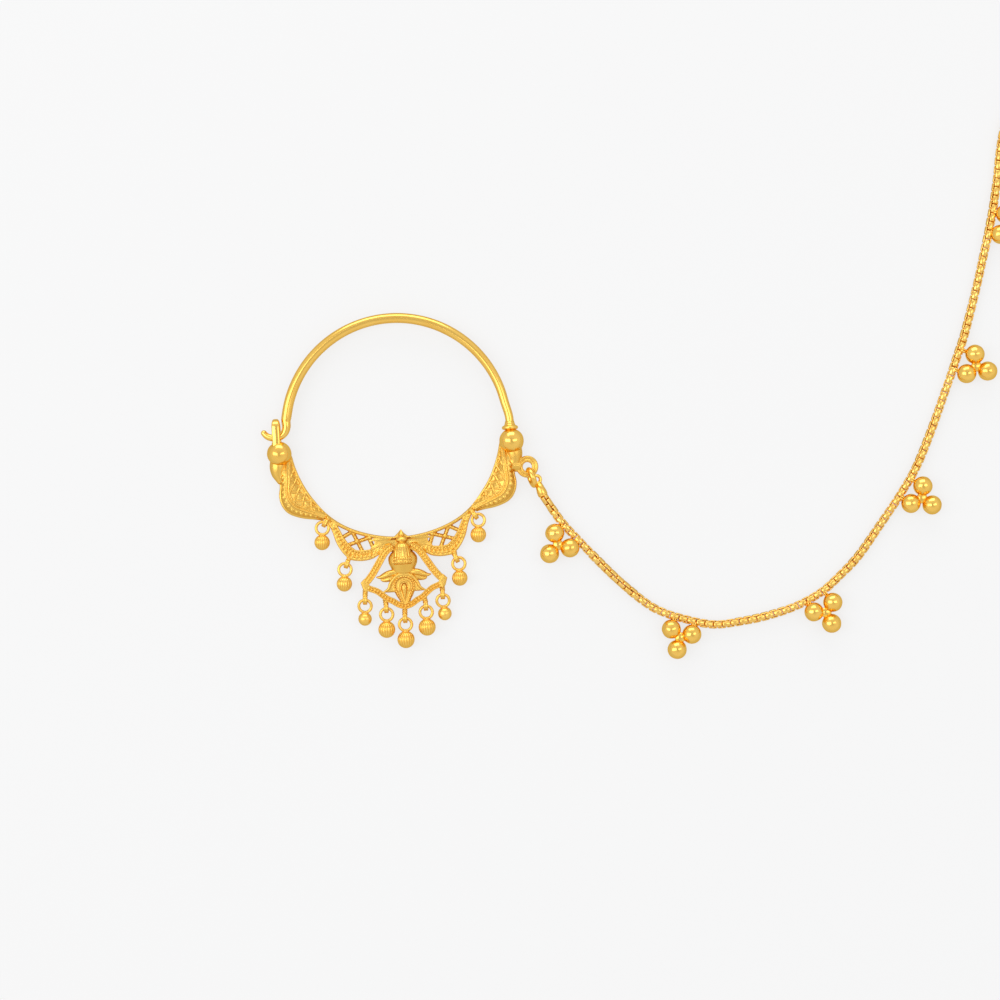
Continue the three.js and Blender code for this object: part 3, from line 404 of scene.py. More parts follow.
def skin(rings, closed=False):
    """Faces over rings of points. Open ends are capped."""
    count = rings.shape[1]
    rows = len(rings) if closed else len(rings) - 1
    faces = []
    for i in range(rows):
        a, b = i * count, ((i + 1) % len(rings)) * count
        faces += [(a + j, a + (j + 1) % count, b + (j + 1) % count, b + j) for j in range(count)]
    if not closed:
        last = (len(rings) - 1) * count
        faces += [tuple(reversed(range(count))), tuple(range(last, last + count))]
    return rings.reshape(-1, 3), faces


def bar(line, radius, sides=10, tall=1.0):
    """A round bar along a line; radius may change along it, and tall stretches its section upwards."""
    line = np.array(line, float)
    radius = np.broadcast_to(radius, len(line))[:, None, None]
    _, side, top = directions(line)
    turn = np.linspace(0, 2 * math.pi, sides, endpoint=False)
    across = side[:, None] * np.cos(turn)[None, :, None]
    up = top[:, None] * np.sin(turn)[None, :, None] * tall
    return skin(line[:, None] + radius * (across + up))


def strip(line, width, height, base):
    """A bar with a flat back and a domed top along a flat line."""
    line = np.array(line, float)
    _, side, _ = directions(line)
    rings = np.stack([line + side * (across * width) for across, _ in STRIP_SECTION], 1)
    rings[:, :, 2] = [base + up * height for _, up in STRIP_SECTION]
    return skin(rings[:, ::-1])


def globe(middle, radius, around=28, rows=18, squeeze=(1, 1, 1)):
    """A ball, which squeeze flattens along an axis."""
    turn = np.linspace(0, 2 * math.pi, around, endpoint=False)
    tilt = np.linspace(0, math.pi, rows + 1)[1:-1]
    rings = np.stack([np.outer(np.sin(tilt), np.cos(turn)), np.outer(np.sin(tilt), np.sin(turn)),
                      np.outer(np.cos(tilt), np.ones(around))], 2)
    points = np.vstack([rings.reshape(-1, 3), [(0, 0, 1), (0, 0, -1)]])
    faces = []
    for i in range(rows - 2):
        faces += [(i * around + j, (i + 1) * around + j, (i + 1) * around + (j + 1) % around,
                   i * around + (j + 1) % around) for j in range(around)]
    north, south, last = len(points) - 2, len(points) - 1, (rows - 2) * around
    faces += [(north, j, (j + 1) % around) for j in range(around)]
    faces += [(south, last + (j + 1) % around, last + j) for j in range(around)]
    return points * np.array(squeeze) * radius + np.array(middle), faces


def loop(middle, axis, radius, wire, around=36, sides=12):
    """A closed ring of round wire."""
    turn = np.linspace(0, 2 * math.pi, around, endpoint=False)
    tilt = np.linspace(0, 2 * math.pi, sides, endpoint=False)
    out = np.stack([np.cos(turn), np.sin(turn), np.zeros(around)], 1)
    up = np.array([0, 0, 1.0])
    rings = (out[:, None] * (radius + wire * np.cos(tilt))[None, :, None]
             + up * (wire * np.sin(tilt))[None, :, None])
    points, faces = skin(rings, closed=True)
    spin = np.array(Vector((0, 0, 1)).rotation_difference(Vector(axis).normalized()).to_matrix())
    return points @ spin.T + np.array(middle), faces


def oval(middle, reach, rise, wire, around=56, sides=16):
    """A closed ring of round wire with two different half axes."""
    turn = np.linspace(0, 2 * math.pi, around, endpoint=False)[:, None]
    tilt = np.linspace(0, 2 * math.pi, sides, endpoint=False)[None, :, None]
    line = middle + reach * np.cos(turn) + rise * np.sin(turn)
    out = reach * np.cos(turn) / (reach @ reach) + rise * np.sin(turn) / (rise @ rise)
    out /= np.linalg.norm(out, axis=1)[:, None]
    across = np.cross(reach, rise) / np.linalg.norm(np.cross(reach, rise))
    rings = line[:, None] + wire * (out[:, None] * np.cos(tilt) + across * np.sin(tilt))
    return skin(rings, closed=True)


def turned(profile, sides=48, ribs=0, depth=0.0, flat=1.0, height=0.0, sharp=0.0):
    """A turned body round the ring's own Y, with round ribs or narrow grooves, flattened towards its back."""
    profile = np.array(profile, float)
    turn = np.linspace(0, 2 * math.pi, sides, endpoint=False)
    if sharp:
        cut = 1 - depth * np.exp(-((np.sin(0.5 * ribs * turn) / sharp) ** 2))
    else:
        cut = 1 - depth * (0.5 - 0.5 * np.cos(ribs * turn))
    inner = profile[1:-1]
    rings = np.stack([np.outer(inner[:, 0], np.cos(turn) * cut), np.repeat(inner[:, 1:], sides, 1),
                      np.outer(inner[:, 0], np.sin(turn) * cut) * flat + height], 2)
    points = np.vstack([rings.reshape(-1, 3), [(0, profile[0, 1], height), (0, profile[-1, 1], height)]])
    faces = []
    rows = len(inner)
    for i in range(rows - 1):
        faces += [(i * sides + j, i * sides + (j + 1) % sides, (i + 1) * sides + (j + 1) % sides,
                   (i + 1) * sides + j) for j in range(sides)]
    first, end, last = len(points) - 2, len(points) - 1, (rows - 1) * sides
    faces += [(first, (j + 1) % sides, j) for j in range(sides)]
    faces += [(end, last + j, last + (j + 1) % sides) for j in range(sides)]
    return points, faces


def slab(outline, base, top, slope=0.1):
    """A flat plate over an outline, a little smaller at its top."""
    flat = np.array(outline, float)
    ahead, behind = np.roll(flat, -1, 0) - flat, flat - np.roll(flat, 1, 0)
    normal = np.stack([ahead[:, 1] + behind[:, 1], -ahead[:, 0] - behind[:, 0]], 1)
    normal /= np.linalg.norm(normal, axis=1)[:, None]
    area = 0.5 * np.sum(flat[:, 0] * np.roll(flat[:, 1], -1) - np.roll(flat[:, 0], -1) * flat[:, 1])
    if area < 0:
        flat, normal = flat[::-1], -normal[::-1]
    small = flat - normal * slope
    levels = ((flat, base), (flat, top - slope), (small, top))
    rings = np.stack([np.column_stack([line, np.full(len(line), z)]) for line, z in levels])
    return skin(rings)


def mirrored(solid):
    """The same solid on the ring's other side."""
    points, faces = solid
    return points * np.array((-1, 1, 1)), [tuple(reversed(f)) for f in faces]


def both_sides(solids):
    """Solids and their mirror images."""
    return list(solids) + [mirrored(s) for s in solids]


def facing_out(solid):
    """The same solid with its faces turned outwards."""
    points, faces = solid
    middle = points.mean(axis=0)
    volume = 0.0
    for face in faces:
        corners = points[list(face)] - middle
        for b, c in zip(corners[1:], corners[2:]):
            volume += np.dot(corners[0], np.cross(b, c))
    return (points, faces) if volume > 0 else (points, [tuple(reversed(f)) for f in faces])


def gather(solids, check=False):
    """All solids as one pair of points and faces, turned outwards first where check says so."""
    points, faces, start = [], [], 0
    for some, these in map(facing_out, solids) if check else solids:
        points.append(some)
        faces += [tuple(start + i for i in f) for f in these]
        start += len(some)
    return np.vstack(points), faces


def new_mesh(name, solids, check=True):
    """A mesh of some solids."""
    points, faces = gather(solids, check)
    mesh = bpy.data.meshes.new(name)
    mesh.from_pydata(points.tolist(), [], faces)
    mesh.update()
    return mesh


def new_object(name, data):
    """An object in the scene, at the origin."""
    obj = bpy.data.objects.new(name, data)
    bpy.context.scene.collection.objects.link(obj)
    return obj


def plain_mesh(obj, name):
    """The object's mesh with its modifiers applied. The object itself is removed."""
    seen = obj.evaluated_get(bpy.context.evaluated_depsgraph_get())
    mesh = bpy.data.meshes.new_from_object(seen)
    mesh.name = name
    bpy.data.objects.remove(obj)
    return mesh


def vertex_values(mesh, name):
    """Three values of each vertex, such as its place or its normal."""
    values = np.empty(len(mesh.vertices) * 3)
    mesh.vertices.foreach_get(name, values)
    return values.reshape(-1, 3)


def solid_of(mesh):
    """A mesh as a solid."""
    return vertex_values(mesh, "co"), [tuple(face.vertices) for face in mesh.polygons]


def dented(mesh, depth, size, seed):
    """Moves points in and out by shallow, smooth dents."""
    offset = Vector((7.3 * seed, 3.1 * seed, 1.7 * seed))
    for vertex, normal in zip(mesh.vertices, [v.normal.copy() for v in mesh.vertices]):
        vertex.co += normal * (depth * noise.noise(vertex.co / size + offset))
    mesh.update()


def fused(name, solids, detail, soften, keep=0.6):
    """One cast body from solids that run into each other, thinned to a share of its faces."""
    obj = new_object(name, new_mesh(name, solids, check=False))
    fuse = obj.modifiers.new("Fuse", "REMESH")
    fuse.mode = "VOXEL"
    fuse.voxel_size = detail
    round_off = obj.modifiers.new("Round off", "SMOOTH")
    round_off.factor = 0.5
    round_off.iterations = soften
    thin = obj.modifiers.new("Thin", "DECIMATE")
    thin.ratio = keep
    mesh = plain_mesh(obj, name)
    # Painted shade: marks the hollows that the gold's material darkens.
    mark_hollows_for_painted_shade(mesh)
    return mesh


def mark_hollows_for_painted_shade(mesh, passes=9, reach=0.085):
    """Writes how deep each point lies in its surroundings, from 0 on open surfaces to 1 in hollows, for the
    gold's painted shade there.
    """
    count = len(mesh.vertices)
    points, normals = vertex_values(mesh, "co"), vertex_values(mesh, "normal")
    edges = np.empty(len(mesh.edges) * 2, int)
    mesh.edges.foreach_get("vertices", edges)
    a, b = edges.reshape(-1, 2).T
    degree = np.bincount(np.concatenate([a, b]), minlength=count)[:, None]
    smooth = points.copy()
    for _ in range(passes):
        total = np.stack([np.bincount(a, smooth[b, i], count) + np.bincount(b, smooth[a, i], count)
                          for i in range(3)], 1)
        smooth = 0.5 * smooth + 0.5 * total / degree
    depth = np.einsum("ij,ij->i", smooth - points, normals) / reach
    store(mesh, "hollow", np.clip(depth, 0, 1))


def store(mesh, name, values):
    """Writes one value for each vertex, as an attribute."""
    layer = mesh.attributes.new(name, "FLOAT", "POINT")
    layer.data.foreach_set("value", values.astype(np.float32))


def finished(name, mesh, nodes, material, place):
    mesh.transform(place)
    mesh.materials.clear()
    mesh.materials.append(material)
    mesh.shade_smooth()
    obj = new_object(name, mesh)
    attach(obj, BODY)
    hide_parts(*nodes)
    return obj


# Gold

def gold(name, colour, painted_shade_and_haze, roughness, spread, grain, bump):
    """Yellow gold with soft changes of colour and polish, painted shade in its hollows, and a fine uneven
    surface.
    """
    material = bpy.data.materials.new(name)
    material.use_nodes = True
    nodes, links = material.node_tree.nodes, material.node_tree.links
    shader = nodes["Principled BSDF"]
    shader.inputs["Metallic"].default_value = 1.0
    shader.inputs["Specular Tint"].default_value = (1.0, 0.8, 0.45, 1.0)
    place = nodes.new("ShaderNodeTexCoord")
    cloud = nodes.new("ShaderNodeTexNoise")
    cloud.inputs["Scale"].default_value = CLOUD_SCALE
    cloud.inputs["Detail"].default_value = 3
    fine = nodes.new("ShaderNodeTexNoise")
    fine.inputs["Scale"].default_value = grain
    fine.inputs["Detail"].default_value = 4
    links.new(place.outputs["Object"], cloud.inputs["Vector"])
    links.new(place.outputs["Object"], fine.inputs["Vector"])

    haze = nodes.new("ShaderNodeMapRange")
    haze.inputs["From Min"].default_value = 0.35
    haze.inputs["From Max"].default_value = 0.75
    haze.inputs["To Max"].default_value = 0.35
    links.new(cloud.outputs["Fac"], haze.inputs["Value"])
    # Painted shade: the hollow attribute darkens the colour in recesses, together with the random haze.
    hollow = nodes.new("ShaderNodeAttribute")
    hollow.attribute_name = "hollow"
    more = nodes.new("ShaderNodeMath")
    more.operation = "MAXIMUM"
    links.new(haze.outputs["Result"], more.inputs[0])
    links.new(hollow.outputs["Fac"], more.inputs[1])
    blend = nodes.new("ShaderNodeMix")
    blend.data_type = "RGBA"
    blend.inputs["A"].default_value = (*colour, 1)
    blend.inputs["B"].default_value = (*painted_shade_and_haze, 1)
    links.new(more.outputs["Value"], blend.inputs["Factor"])
    links.new(blend.outputs["Result"], shader.inputs["Base Color"])

    polish = nodes.new("ShaderNodeMapRange")
    polish.inputs["From Min"].default_value = 0.3
    polish.inputs["From Max"].default_value = 0.7
    polish.inputs["To Min"].default_value = roughness - spread
    polish.inputs["To Max"].default_value = roughness + spread
    links.new(cloud.outputs["Fac"], polish.inputs["Value"])
    links.new(polish.outputs["Result"], shader.inputs["Roughness"])

    uneven = nodes.new("ShaderNodeBump")
    uneven.inputs["Strength"].default_value = bump
    uneven.inputs["Distance"].default_value = GRAIN_DEPTH * MM
    links.new(fine.outputs["Fac"], uneven.inputs["Height"])
    links.new(uneven.outputs["Normal"], shader.inputs["Normal"])
    return material


def polished_gold():
    """Wire, plain balls, rings and caps."""
    looks = sizes("gold_looks")
    return bpy.data.materials.get("gold_of_wire") or gold(
        "gold_of_wire", looks.polished, looks.painted_shade_and_haze, looks.roughness, spread=0.03, grain=900, bump=0.1)


def cast_gold():
    """The crescent and the pendant."""
    looks = sizes("gold_looks")
    return bpy.data.materials.get("gold_of_castings") or gold(
        "gold_of_castings", looks.cast, looks.painted_shade_and_haze, roughness=0.33, spread=0.05, grain=5200, bump=0.2)


def drop_gold():
    """The fluted and plain drops, less bright than the large balls."""
    looks = sizes("gold_looks")
    return bpy.data.materials.get("gold_of_drops") or gold(
        "gold_of_drops", looks.polished, looks.painted_shade_and_haze, roughness=0.34, spread=0.04, grain=2600, bump=0.2)


def link_gold():
    """The box chain."""
    looks = sizes("gold_looks")
    return bpy.data.materials.get("gold_of_links") or gold(
        "gold_of_links", looks.links, looks.painted_shade_and_haze, roughness=0.22, spread=0.05, grain=4000, bump=0.25)


# Geometry Nodes

def node_tree(name, inputs):
    """A tree with named inputs of (name, kind, value), and its two end nodes."""
    tree = bpy.data.node_groups.new(name, "GeometryNodeTree")
    tree.interface.new_socket("Geometry", in_out="INPUT", socket_type="NodeSocketGeometry")
    for label, kind, value in inputs:
        socket = tree.interface.new_socket(label, in_out="INPUT", socket_type=kind)
        if value is not None:
            socket.default_value = value
    tree.interface.new_socket("Geometry", in_out="OUTPUT", socket_type="NodeSocketGeometry")
    return tree, tree.nodes.new("NodeGroupInput"), tree.nodes.new("NodeGroupOutput")


def run_tree(obj, tree, values):
    """Adds the tree to the object with its named inputs set."""
    modifier = obj.modifiers.new(tree.name, "NODES")
    modifier.node_group = tree
    for item in tree.interface.items_tree:
        if item.item_type == "SOCKET" and item.in_out == "INPUT" and item.name in values:
            modifier[item.identifier] = values[item.name]


def maths(tree, operation, *values):
    """The result of a calculation on numbers or on other nodes' results."""
    node = tree.nodes.new("ShaderNodeMath")
    node.operation = operation
    for socket, value in zip(node.inputs, values):
        if isinstance(value, (int, float)):
            socket.default_value = value
        else:
            tree.links.new(value, socket)
    return node.outputs["Value"]


def chance_between(tree, low, high, seed):
    """A random number for each point."""
    chance = tree.nodes.new("FunctionNodeRandomValue")
    chance.data_type = "FLOAT"
    tree.links.new(low, chance.inputs[2])
    tree.links.new(high, chance.inputs[3])
    tree.links.new(seed, chance.inputs["Seed"])
    return chance.outputs[1]


def every(tree, curve, distance):
    """Points along a curve at a distance from each other."""
    spread = tree.nodes.new("GeometryNodeResampleCurve")
    spread.mode = "LENGTH"
    tree.links.new(curve, spread.inputs["Curve"])
    tree.links.new(distance, spread.inputs["Length"])
    return spread.outputs["Curve"]


def set_on(tree, points, shape, material, out):
    """A copy of a shape on each point, made real and given its material. Its node is given back."""
    setting = tree.nodes.new("GeometryNodeInstanceOnPoints")
    tree.links.new(points, setting.inputs["Points"])
    tree.links.new(shape, setting.inputs["Instance"])
    real = tree.nodes.new("GeometryNodeRealizeInstances")
    tree.links.new(setting.outputs["Instances"], real.inputs["Geometry"])
    paint = tree.nodes.new("GeometryNodeSetMaterial")
    tree.links.new(real.outputs["Geometry"], paint.inputs["Geometry"])
    tree.links.new(material, paint.inputs["Material"])
    tree.links.new(paint.outputs["Geometry"], out.inputs["Geometry"])
    return setting


def grain_rows_tree():
    """Small round grains set along lines, each as large as the line's radius there."""
    tree, given, out = node_tree("Grain rows", (
        ("Spacing", "NodeSocketFloat", 0.4), ("Variation", "NodeSocketFloat", 0.12),
        ("Seed", "NodeSocketInt", 3), ("Material", "NodeSocketMaterial", None),
    ))
    places = every(tree, given.outputs["Geometry"], given.outputs["Spacing"])
    grain = tree.nodes.new("GeometryNodeMeshIcoSphere")
    grain.inputs["Radius"].default_value = 1.0
    grain.inputs["Subdivisions"].default_value = 2
    variation = given.outputs["Variation"]
    share = chance_between(tree, maths(tree, "SUBTRACT", 1.0, variation), maths(tree, "ADD", 1.0, variation),
                           given.outputs["Seed"])
    radius = tree.nodes.new("GeometryNodeInputRadius")
    setting = set_on(tree, places, grain.outputs["Mesh"], given.outputs["Material"], out)
    tree.links.new(maths(tree, "MULTIPLY", radius.outputs["Radius"], share), setting.inputs["Scale"])
    return tree


def grains(rows, spacing, seed=3, variation=0.12):
    """One solid of all the grains along rows of (line, radius)."""
    tree = bpy.data.node_groups.get("Grain rows") or grain_rows_tree()
    lines = bpy.data.curves.new("grain_rows", "CURVE")
    lines.dimensions = "3D"
    for line, radius in rows:
        spline = lines.splines.new("POLY")
        spline.points.add(len(line) - 1)
        for point, place, size in zip(spline.points, line, np.broadcast_to(radius, len(line))):
            point.co = (*place, 1)
            point.radius = size
    obj = new_object("grain_rows", lines)
    run_tree(obj, tree, {"Spacing": spacing, "Variation": variation, "Seed": seed, "Material": cast_gold()})
    mesh = plain_mesh(obj, "grains")
    return solid_of(mesh)


def rounded_box(tree, width, height, corner, count):
    """The outline of a box with round corners."""
    box = tree.nodes.new("GeometryNodeCurvePrimitiveQuadrilateral")
    tree.links.new(width, box.inputs["Width"])
    tree.links.new(height, box.inputs["Height"])
    corners = tree.nodes.new("GeometryNodeFilletCurve")
    corners.mode = "POLY"
    corners.inputs["Count"].default_value = count
    tree.links.new(box.outputs["Curve"], corners.inputs["Curve"])
    tree.links.new(corner, corners.inputs["Radius"])
    return corners.outputs["Curve"]


def box_chain_tree():
    """Square links bent from a flat strip, each turned a quarter against the one before it."""
    tree, given, out = node_tree("Box chain", (
        ("Pitch", "NodeSocketFloat", 0.53), ("Link size", "NodeSocketFloat", 0.92),
        ("Link length", "NodeSocketFloat", 0.99),
        ("Band width", "NodeSocketFloat", 0.55), ("Band thickness", "NodeSocketFloat", 0.19),
        ("Looseness", "NodeSocketFloat", 0.05), ("Seed", "NodeSocketInt", 5),
        ("Material", "NodeSocketMaterial", None),
    ))
    nodes, links = tree.nodes, tree.links
    route = nodes.new("GeometryNodeMeshToCurve")
    links.new(given.outputs["Geometry"], route.inputs["Mesh"])
    places = every(tree, route.outputs["Curve"], given.outputs["Pitch"])

    thickness = given.outputs["Band thickness"]
    height = maths(tree, "SUBTRACT", given.outputs["Link size"], thickness)
    length = maths(tree, "SUBTRACT", given.outputs["Link length"], thickness)
    outline = rounded_box(tree, length, height, maths(tree, "MULTIPLY", height, LINK_CORNER), 2)
    band = rounded_box(tree, thickness, given.outputs["Band width"],
                       maths(tree, "MULTIPLY", thickness, BAND_CORNER), 1)
    link = nodes.new("GeometryNodeCurveToMesh")
    links.new(outline, link.inputs["Curve"])
    links.new(band, link.inputs["Profile Curve"])

    along = nodes.new("GeometryNodeInputTangent")
    facing = nodes.new("FunctionNodeAxesToRotation")
    facing.primary_axis = "X"
    facing.secondary_axis = "Z"
    links.new(along.outputs["Tangent"], facing.inputs["Primary Axis"])
    facing.inputs["Secondary Axis"].default_value = (0, 0, 1)
    number = nodes.new("GeometryNodeInputIndex")
    quarter = maths(tree, "MULTIPLY", maths(tree, "MODULO", number.outputs["Index"], 2.0), math.pi / 2)
    roll = nodes.new("GeometryNodeInputNamedAttribute")
    roll.data_type = "FLOAT"
    roll.inputs["Name"].default_value = "roll"
    loose = given.outputs["Looseness"]
    play = chance_between(tree, maths(tree, "MULTIPLY", loose, -1.0), loose, given.outputs["Seed"])
    angles = nodes.new("ShaderNodeCombineXYZ")
    links.new(maths(tree, "ADD", maths(tree, "ADD", quarter, roll.outputs[0]), play), angles.inputs["X"])
    links.new(play, angles.inputs["Y"])
    local = nodes.new("FunctionNodeEulerToRotation")
    links.new(angles.outputs["Vector"], local.inputs["Euler"])
    rotate = nodes.new("FunctionNodeRotateRotation")
    rotate.rotation_space = "LOCAL"
    links.new(facing.outputs["Rotation"], rotate.inputs["Rotation"])
    links.new(local.outputs["Rotation"], rotate.inputs["Rotate By"])
    string = set_on(tree, places, link.outputs["Mesh"], given.outputs["Material"], out)
    links.new(rotate.outputs["Rotation"], string.inputs["Rotation"])
    return tree


# The hoop and its two balls

def make_hoop_wire():
    """The wire grows thicker past its collar and thins again in its hook."""
    size = sizes("ring_sizes")
    x, y = COLLAR_PLACE
    thin, full_at = WIRE_FOOT["radius"], WIRE_FOOT["full_at"]
    points = [(x, y - 0.1), WIRE_FOOT["place"]]
    radii = [thin, thin]
    for angle in HOOP_ANGLES:
        a = math.radians(angle)
        points.append((HOOP_CENTRE[0] + size.hoop_radius * math.cos(a),
                       HOOP_CENTRE[1] + size.hoop_radius * math.sin(a)))
        radii.append(min(size.wire_radius, thin + (size.wire_radius - thin) * angle / full_at))
    points += [place[:2] for place in HOOK]
    radii += [radius for *_, radius in HOOK]
    line = curve_through([(*place, MID_HEIGHT) for place in points], 7)
    radius = smooth_values(radii, 7)
    radius[-len(WIRE_TIP):] *= WIRE_TIP
    points, faces = turned([(r, y + up) for r, up in COLLAR], 48, height=MID_HEIGHT)
    return new_mesh("hoop_wire", [bar(line, radius, 20), (points + (x, 0, 0), faces)])


def make_end_ball():
    """The ball that the wire's collar stands on."""
    size = sizes("ring_sizes")
    mesh = new_mesh("end_ball", [globe((*BALL_PLACE, size.ball_radius), size.ball_radius, 64, 40)])
    dented(mesh, size.dents, 0.9, 2)
    return mesh


def make_catch_ball():
    """The catch loop is a rounded strap, bent into an upright U and soldered to the ball."""
    size = sizes("ring_sizes")
    x, y = CATCH_BALL_PLACE
    mesh = new_mesh("catch_ball", [globe((x, y, size.ball_radius), size.ball_radius, 64, 40)])
    dented(mesh, size.dents * 1.4, 0.8, 5)
    ball = solid_of(mesh)
    half, reach, root = (CATCH_LOOP[name] for name in ("half_height", "reach", "root"))
    turn = np.linspace(0, math.pi, 24)
    up = np.concatenate([[-half] * 6, -half * np.cos(turn), [half] * 6])
    out = np.concatenate([np.linspace(root, reach, 7)[:-1], reach + half * np.sin(turn),
                          np.linspace(reach, root, 7)[1:]])
    slope_y, slope_z = np.gradient(out), np.gradient(up)
    length = np.hypot(slope_y, slope_z)
    away = np.stack([slope_z / length, -slope_y / length], 1)
    rings = np.zeros((len(up), len(CATCH_SECTION), 3))
    narrowed = 1 - CATCH_LOOP["narrowing"] * np.clip((out - reach) / half, 0, 1) ** 3
    for j, (across, proud) in enumerate(CATCH_SECTION):
        rings[:, j, 0] = CATCH_LOOP["x"] + across * narrowed
        rings[:, j, 1] = out - proud * away[:, 0]
        rings[:, j, 2] = MID_HEIGHT + up - proud * away[:, 1]
    foot = loop((CATCH_FOOT["x"], y + CATCH_FOOT["above_ball"], MID_HEIGHT), (0, 1, 0),
                CATCH_FOOT["radius"], CATCH_FOOT["wire"], 32, 10)
    bpy.data.meshes.remove(mesh)
    return new_mesh("catch_ball", [ball, skin(rings), foot])


# The cast crescent

def edge_radius(angle):
    """The inner edge is nearly round, and stands a little further out where the wings start."""
    bay = EDGE["bay"] * math.exp(-(((abs(angle) - EDGE["bay_angle"]) / EDGE["bay_spread"]) ** 2))
    return EDGE["radius"] + EDGE["extra_below"] * math.cos(math.radians(angle)) + bay


def on_ring(angle, radius, z=0.0):
    """A point at an angle from straight down."""
    a = math.radians(angle)
    return radius * math.sin(a), -radius * math.cos(a), z


def wing_at(angle):
    """Outer radius, crown height and line share of a wing at an angle."""
    table = np.array(WING[::-1])
    fine = curve_through([(row[0], row[1], row[2]) for row in table], 8)
    lines = curve_through([(row[0], row[3], 0) for row in table], 8)
    return (np.interp(angle, fine[:, 0], fine[:, 1]), np.interp(angle, fine[:, 0], fine[:, 2]),
            np.interp(angle, lines[:, 0], lines[:, 1]))


def on_wing(angle, share, lift=0.0):
    """A point on a wing's surface: share goes from its inner edge, 0, to its outer edge, 1."""
    outer, crown, line = wing_at(angle)
    if share < line:
        level = np.interp(share / line, *zip(*FIELD_PROFILE))
    else:
        level = np.interp((share - line) / (1 - line), *zip(*BORDER_PROFILE))
    inner = edge_radius(angle)
    return on_ring(angle, inner + share * (outer - inner), level * crown + lift)


def wing_body():
    """The wing's smooth body, with a flat back."""
    rings = []
    for angle in np.linspace(WING[0][0], WING[-1][0], 70):
        top = [on_wing(angle, share) for share in np.linspace(0, 1, 30)]
        rings.append([(*top[0][:2], 0.0)] + top + [(*top[-1][:2], 0.0)])
    return skin(np.array(rings)[:, ::-1])


def wing_line(share_of, angles, lift):
    """A line on a wing, from its share at each angle."""
    return np.array([on_wing(a, share_of(a), lift) for a in angles])


def wing_relief():
    """Lattice and diamonds in the field, a double line, and ridges along the inner and outer edges."""
    cast = sizes("cast_sizes")
    angles = np.linspace(78, 42, 60)
    edge = [on_ring(a, edge_radius(a) + 0.12, z) for a, z in ((82, 1.3), (80.5, 1.1))]
    edge += list(wing_line(lambda a: 0.04, angles, 0.02))
    parts = [bar(edge, np.interp(np.arange(len(edge)), (0, 45, len(edge)), (0.17, 0.18, 0.04)), 10)]
    for offset in (-0.17, 0.17):
        def beside(angle):
            outer, _, line = wing_at(angle)
            return line + offset / (outer - edge_radius(angle))
        parts.append(bar(wing_line(beside, angles, 0.05), cast.ridge * 1.1, 8))
    parts.append(bar(wing_line(lambda a: 0.97, np.linspace(76, 42, 60), -0.08), 0.2, 10))
    step = math.degrees(cast.lattice_step / 14.2)
    for start in np.arange(36, 80, step):
        for slope in (1, -1):
            line = []
            for u in np.linspace(0.08, 0.93, 14):
                angle = start + slope * (u - 0.5) * FIELD_LINES["slant"] * step
                if FIELD_LINES["low"] < angle < FIELD_LINES["high"]:
                    line.append(on_wing(angle, u * wing_at(angle)[2], 0.03))
            if len(line) > 3:
                parts.append(bar(line, cast.ridge, 8))
        middle = start + 0.5 * step
        if FIELD_FACETS["low"] < middle < FIELD_FACETS["high"]:
            parts.append(facet(middle, FIELD_FACETS["share"], FIELD_FACETS["half_share"],
                               FIELD_FACETS["half_step"] * step))
    return parts


def facet(angle, share, half_share, half_angle):
    """A low diamond with a flat top, on the middle of a wing's field."""
    line = wing_at(angle)[2]
    rings = [[on_wing(angle + ahead * size * half_angle, (share + out * size * half_share) * line, lift)
              for ahead, out in ((0, 1), (1, 0), (0, -1), (-1, 0))]
             for size, lift in ((1, -0.12), (1, 0.02), (0.5, 0.12))]
    return skin(np.array(rings))


def border_rows():
    """A row of round leaves between the double line and the outer edge, with finer grains inside it."""
    rows = []
    for u, size, top in ((0.17, 0.6, 71.5), (0.5, 1.45, 70)):
        angles = np.linspace(top, 43.5, 50)
        places, radii = [], []
        for angle in angles:
            outer, _, line = wing_at(angle)
            width = (1 - line) * (outer - edge_radius(angle))
            places.append(on_wing(angle, line + u * (1 - line), -0.12))
            radii.append(min(sizes("cast_sizes").grain * size, 0.24 * width + 0.03))
        rows.append((np.array(places), np.array(radii)))
    return rows


def neck():
    """The round neck between a ball and its wing."""
    line = curve_through([place for *place, _ in NECK], NECK_STEPS)
    return bar(line, smooth_values([radius for *_, radius in NECK], NECK_STEPS), 24)


def inside_line(points, distance):
    """A line moved towards its inner side, over a flat plane."""
    line = np.array(points, float)
    along = np.gradient(line, axis=0)
    along /= np.linalg.norm(along, axis=1)[:, None]
    return line + np.stack([along[:, 1], -along[:, 0], np.zeros(len(line))], 1) * distance


def scallop():
    """The band between two smooth edges, with grains on it, and the lattice inside it."""
    cast = sizes("cast_sizes")
    outer, _ = evenly(curve_through([on_ring(a, r) for a, r in SCALLOP], 6), 0.12)
    share = np.linspace(0, 1, len(outer))
    width = np.interp(share, *zip(*SCALLOP_WIDTH))[:, None]
    parts = [strip(inside_line(outer, 0.5 * width), width, SCALLOP_HEIGHT, 0)]
    for distance, size in ((0.14, 0.17), (width - 0.08, 0.13)):
        edge = inside_line(outer, distance)
        edge[:, 2] = 0.86
        parts.append(bar(edge, size, 10))
    for start, end in LATTICE:
        line, _ = evenly([(*start, LATTICE_BAR["height"]), (*end, LATTICE_BAR["height"])], 0.2)
        parts.append(bar(line, LATTICE_BAR["radius"], 12, LATTICE_BAR["tall"]))
        parts += [globe((*place[:2], LATTICE_GRAIN["height"]), LATTICE_GRAIN["radius"], 10, 8)
                  for place in line[1::2]]
    parts += [globe(place, radius, 16, 10) for *place, radius in LATTICE_BALLS]
    rows = []
    for part, size in ((0.38, 1.4), (0.74, 0.85)):
        row = inside_line(outer, part * width)
        row[:, 2] = 0.8
        rows.append((row, cast.grain * size))
    return parts, rows


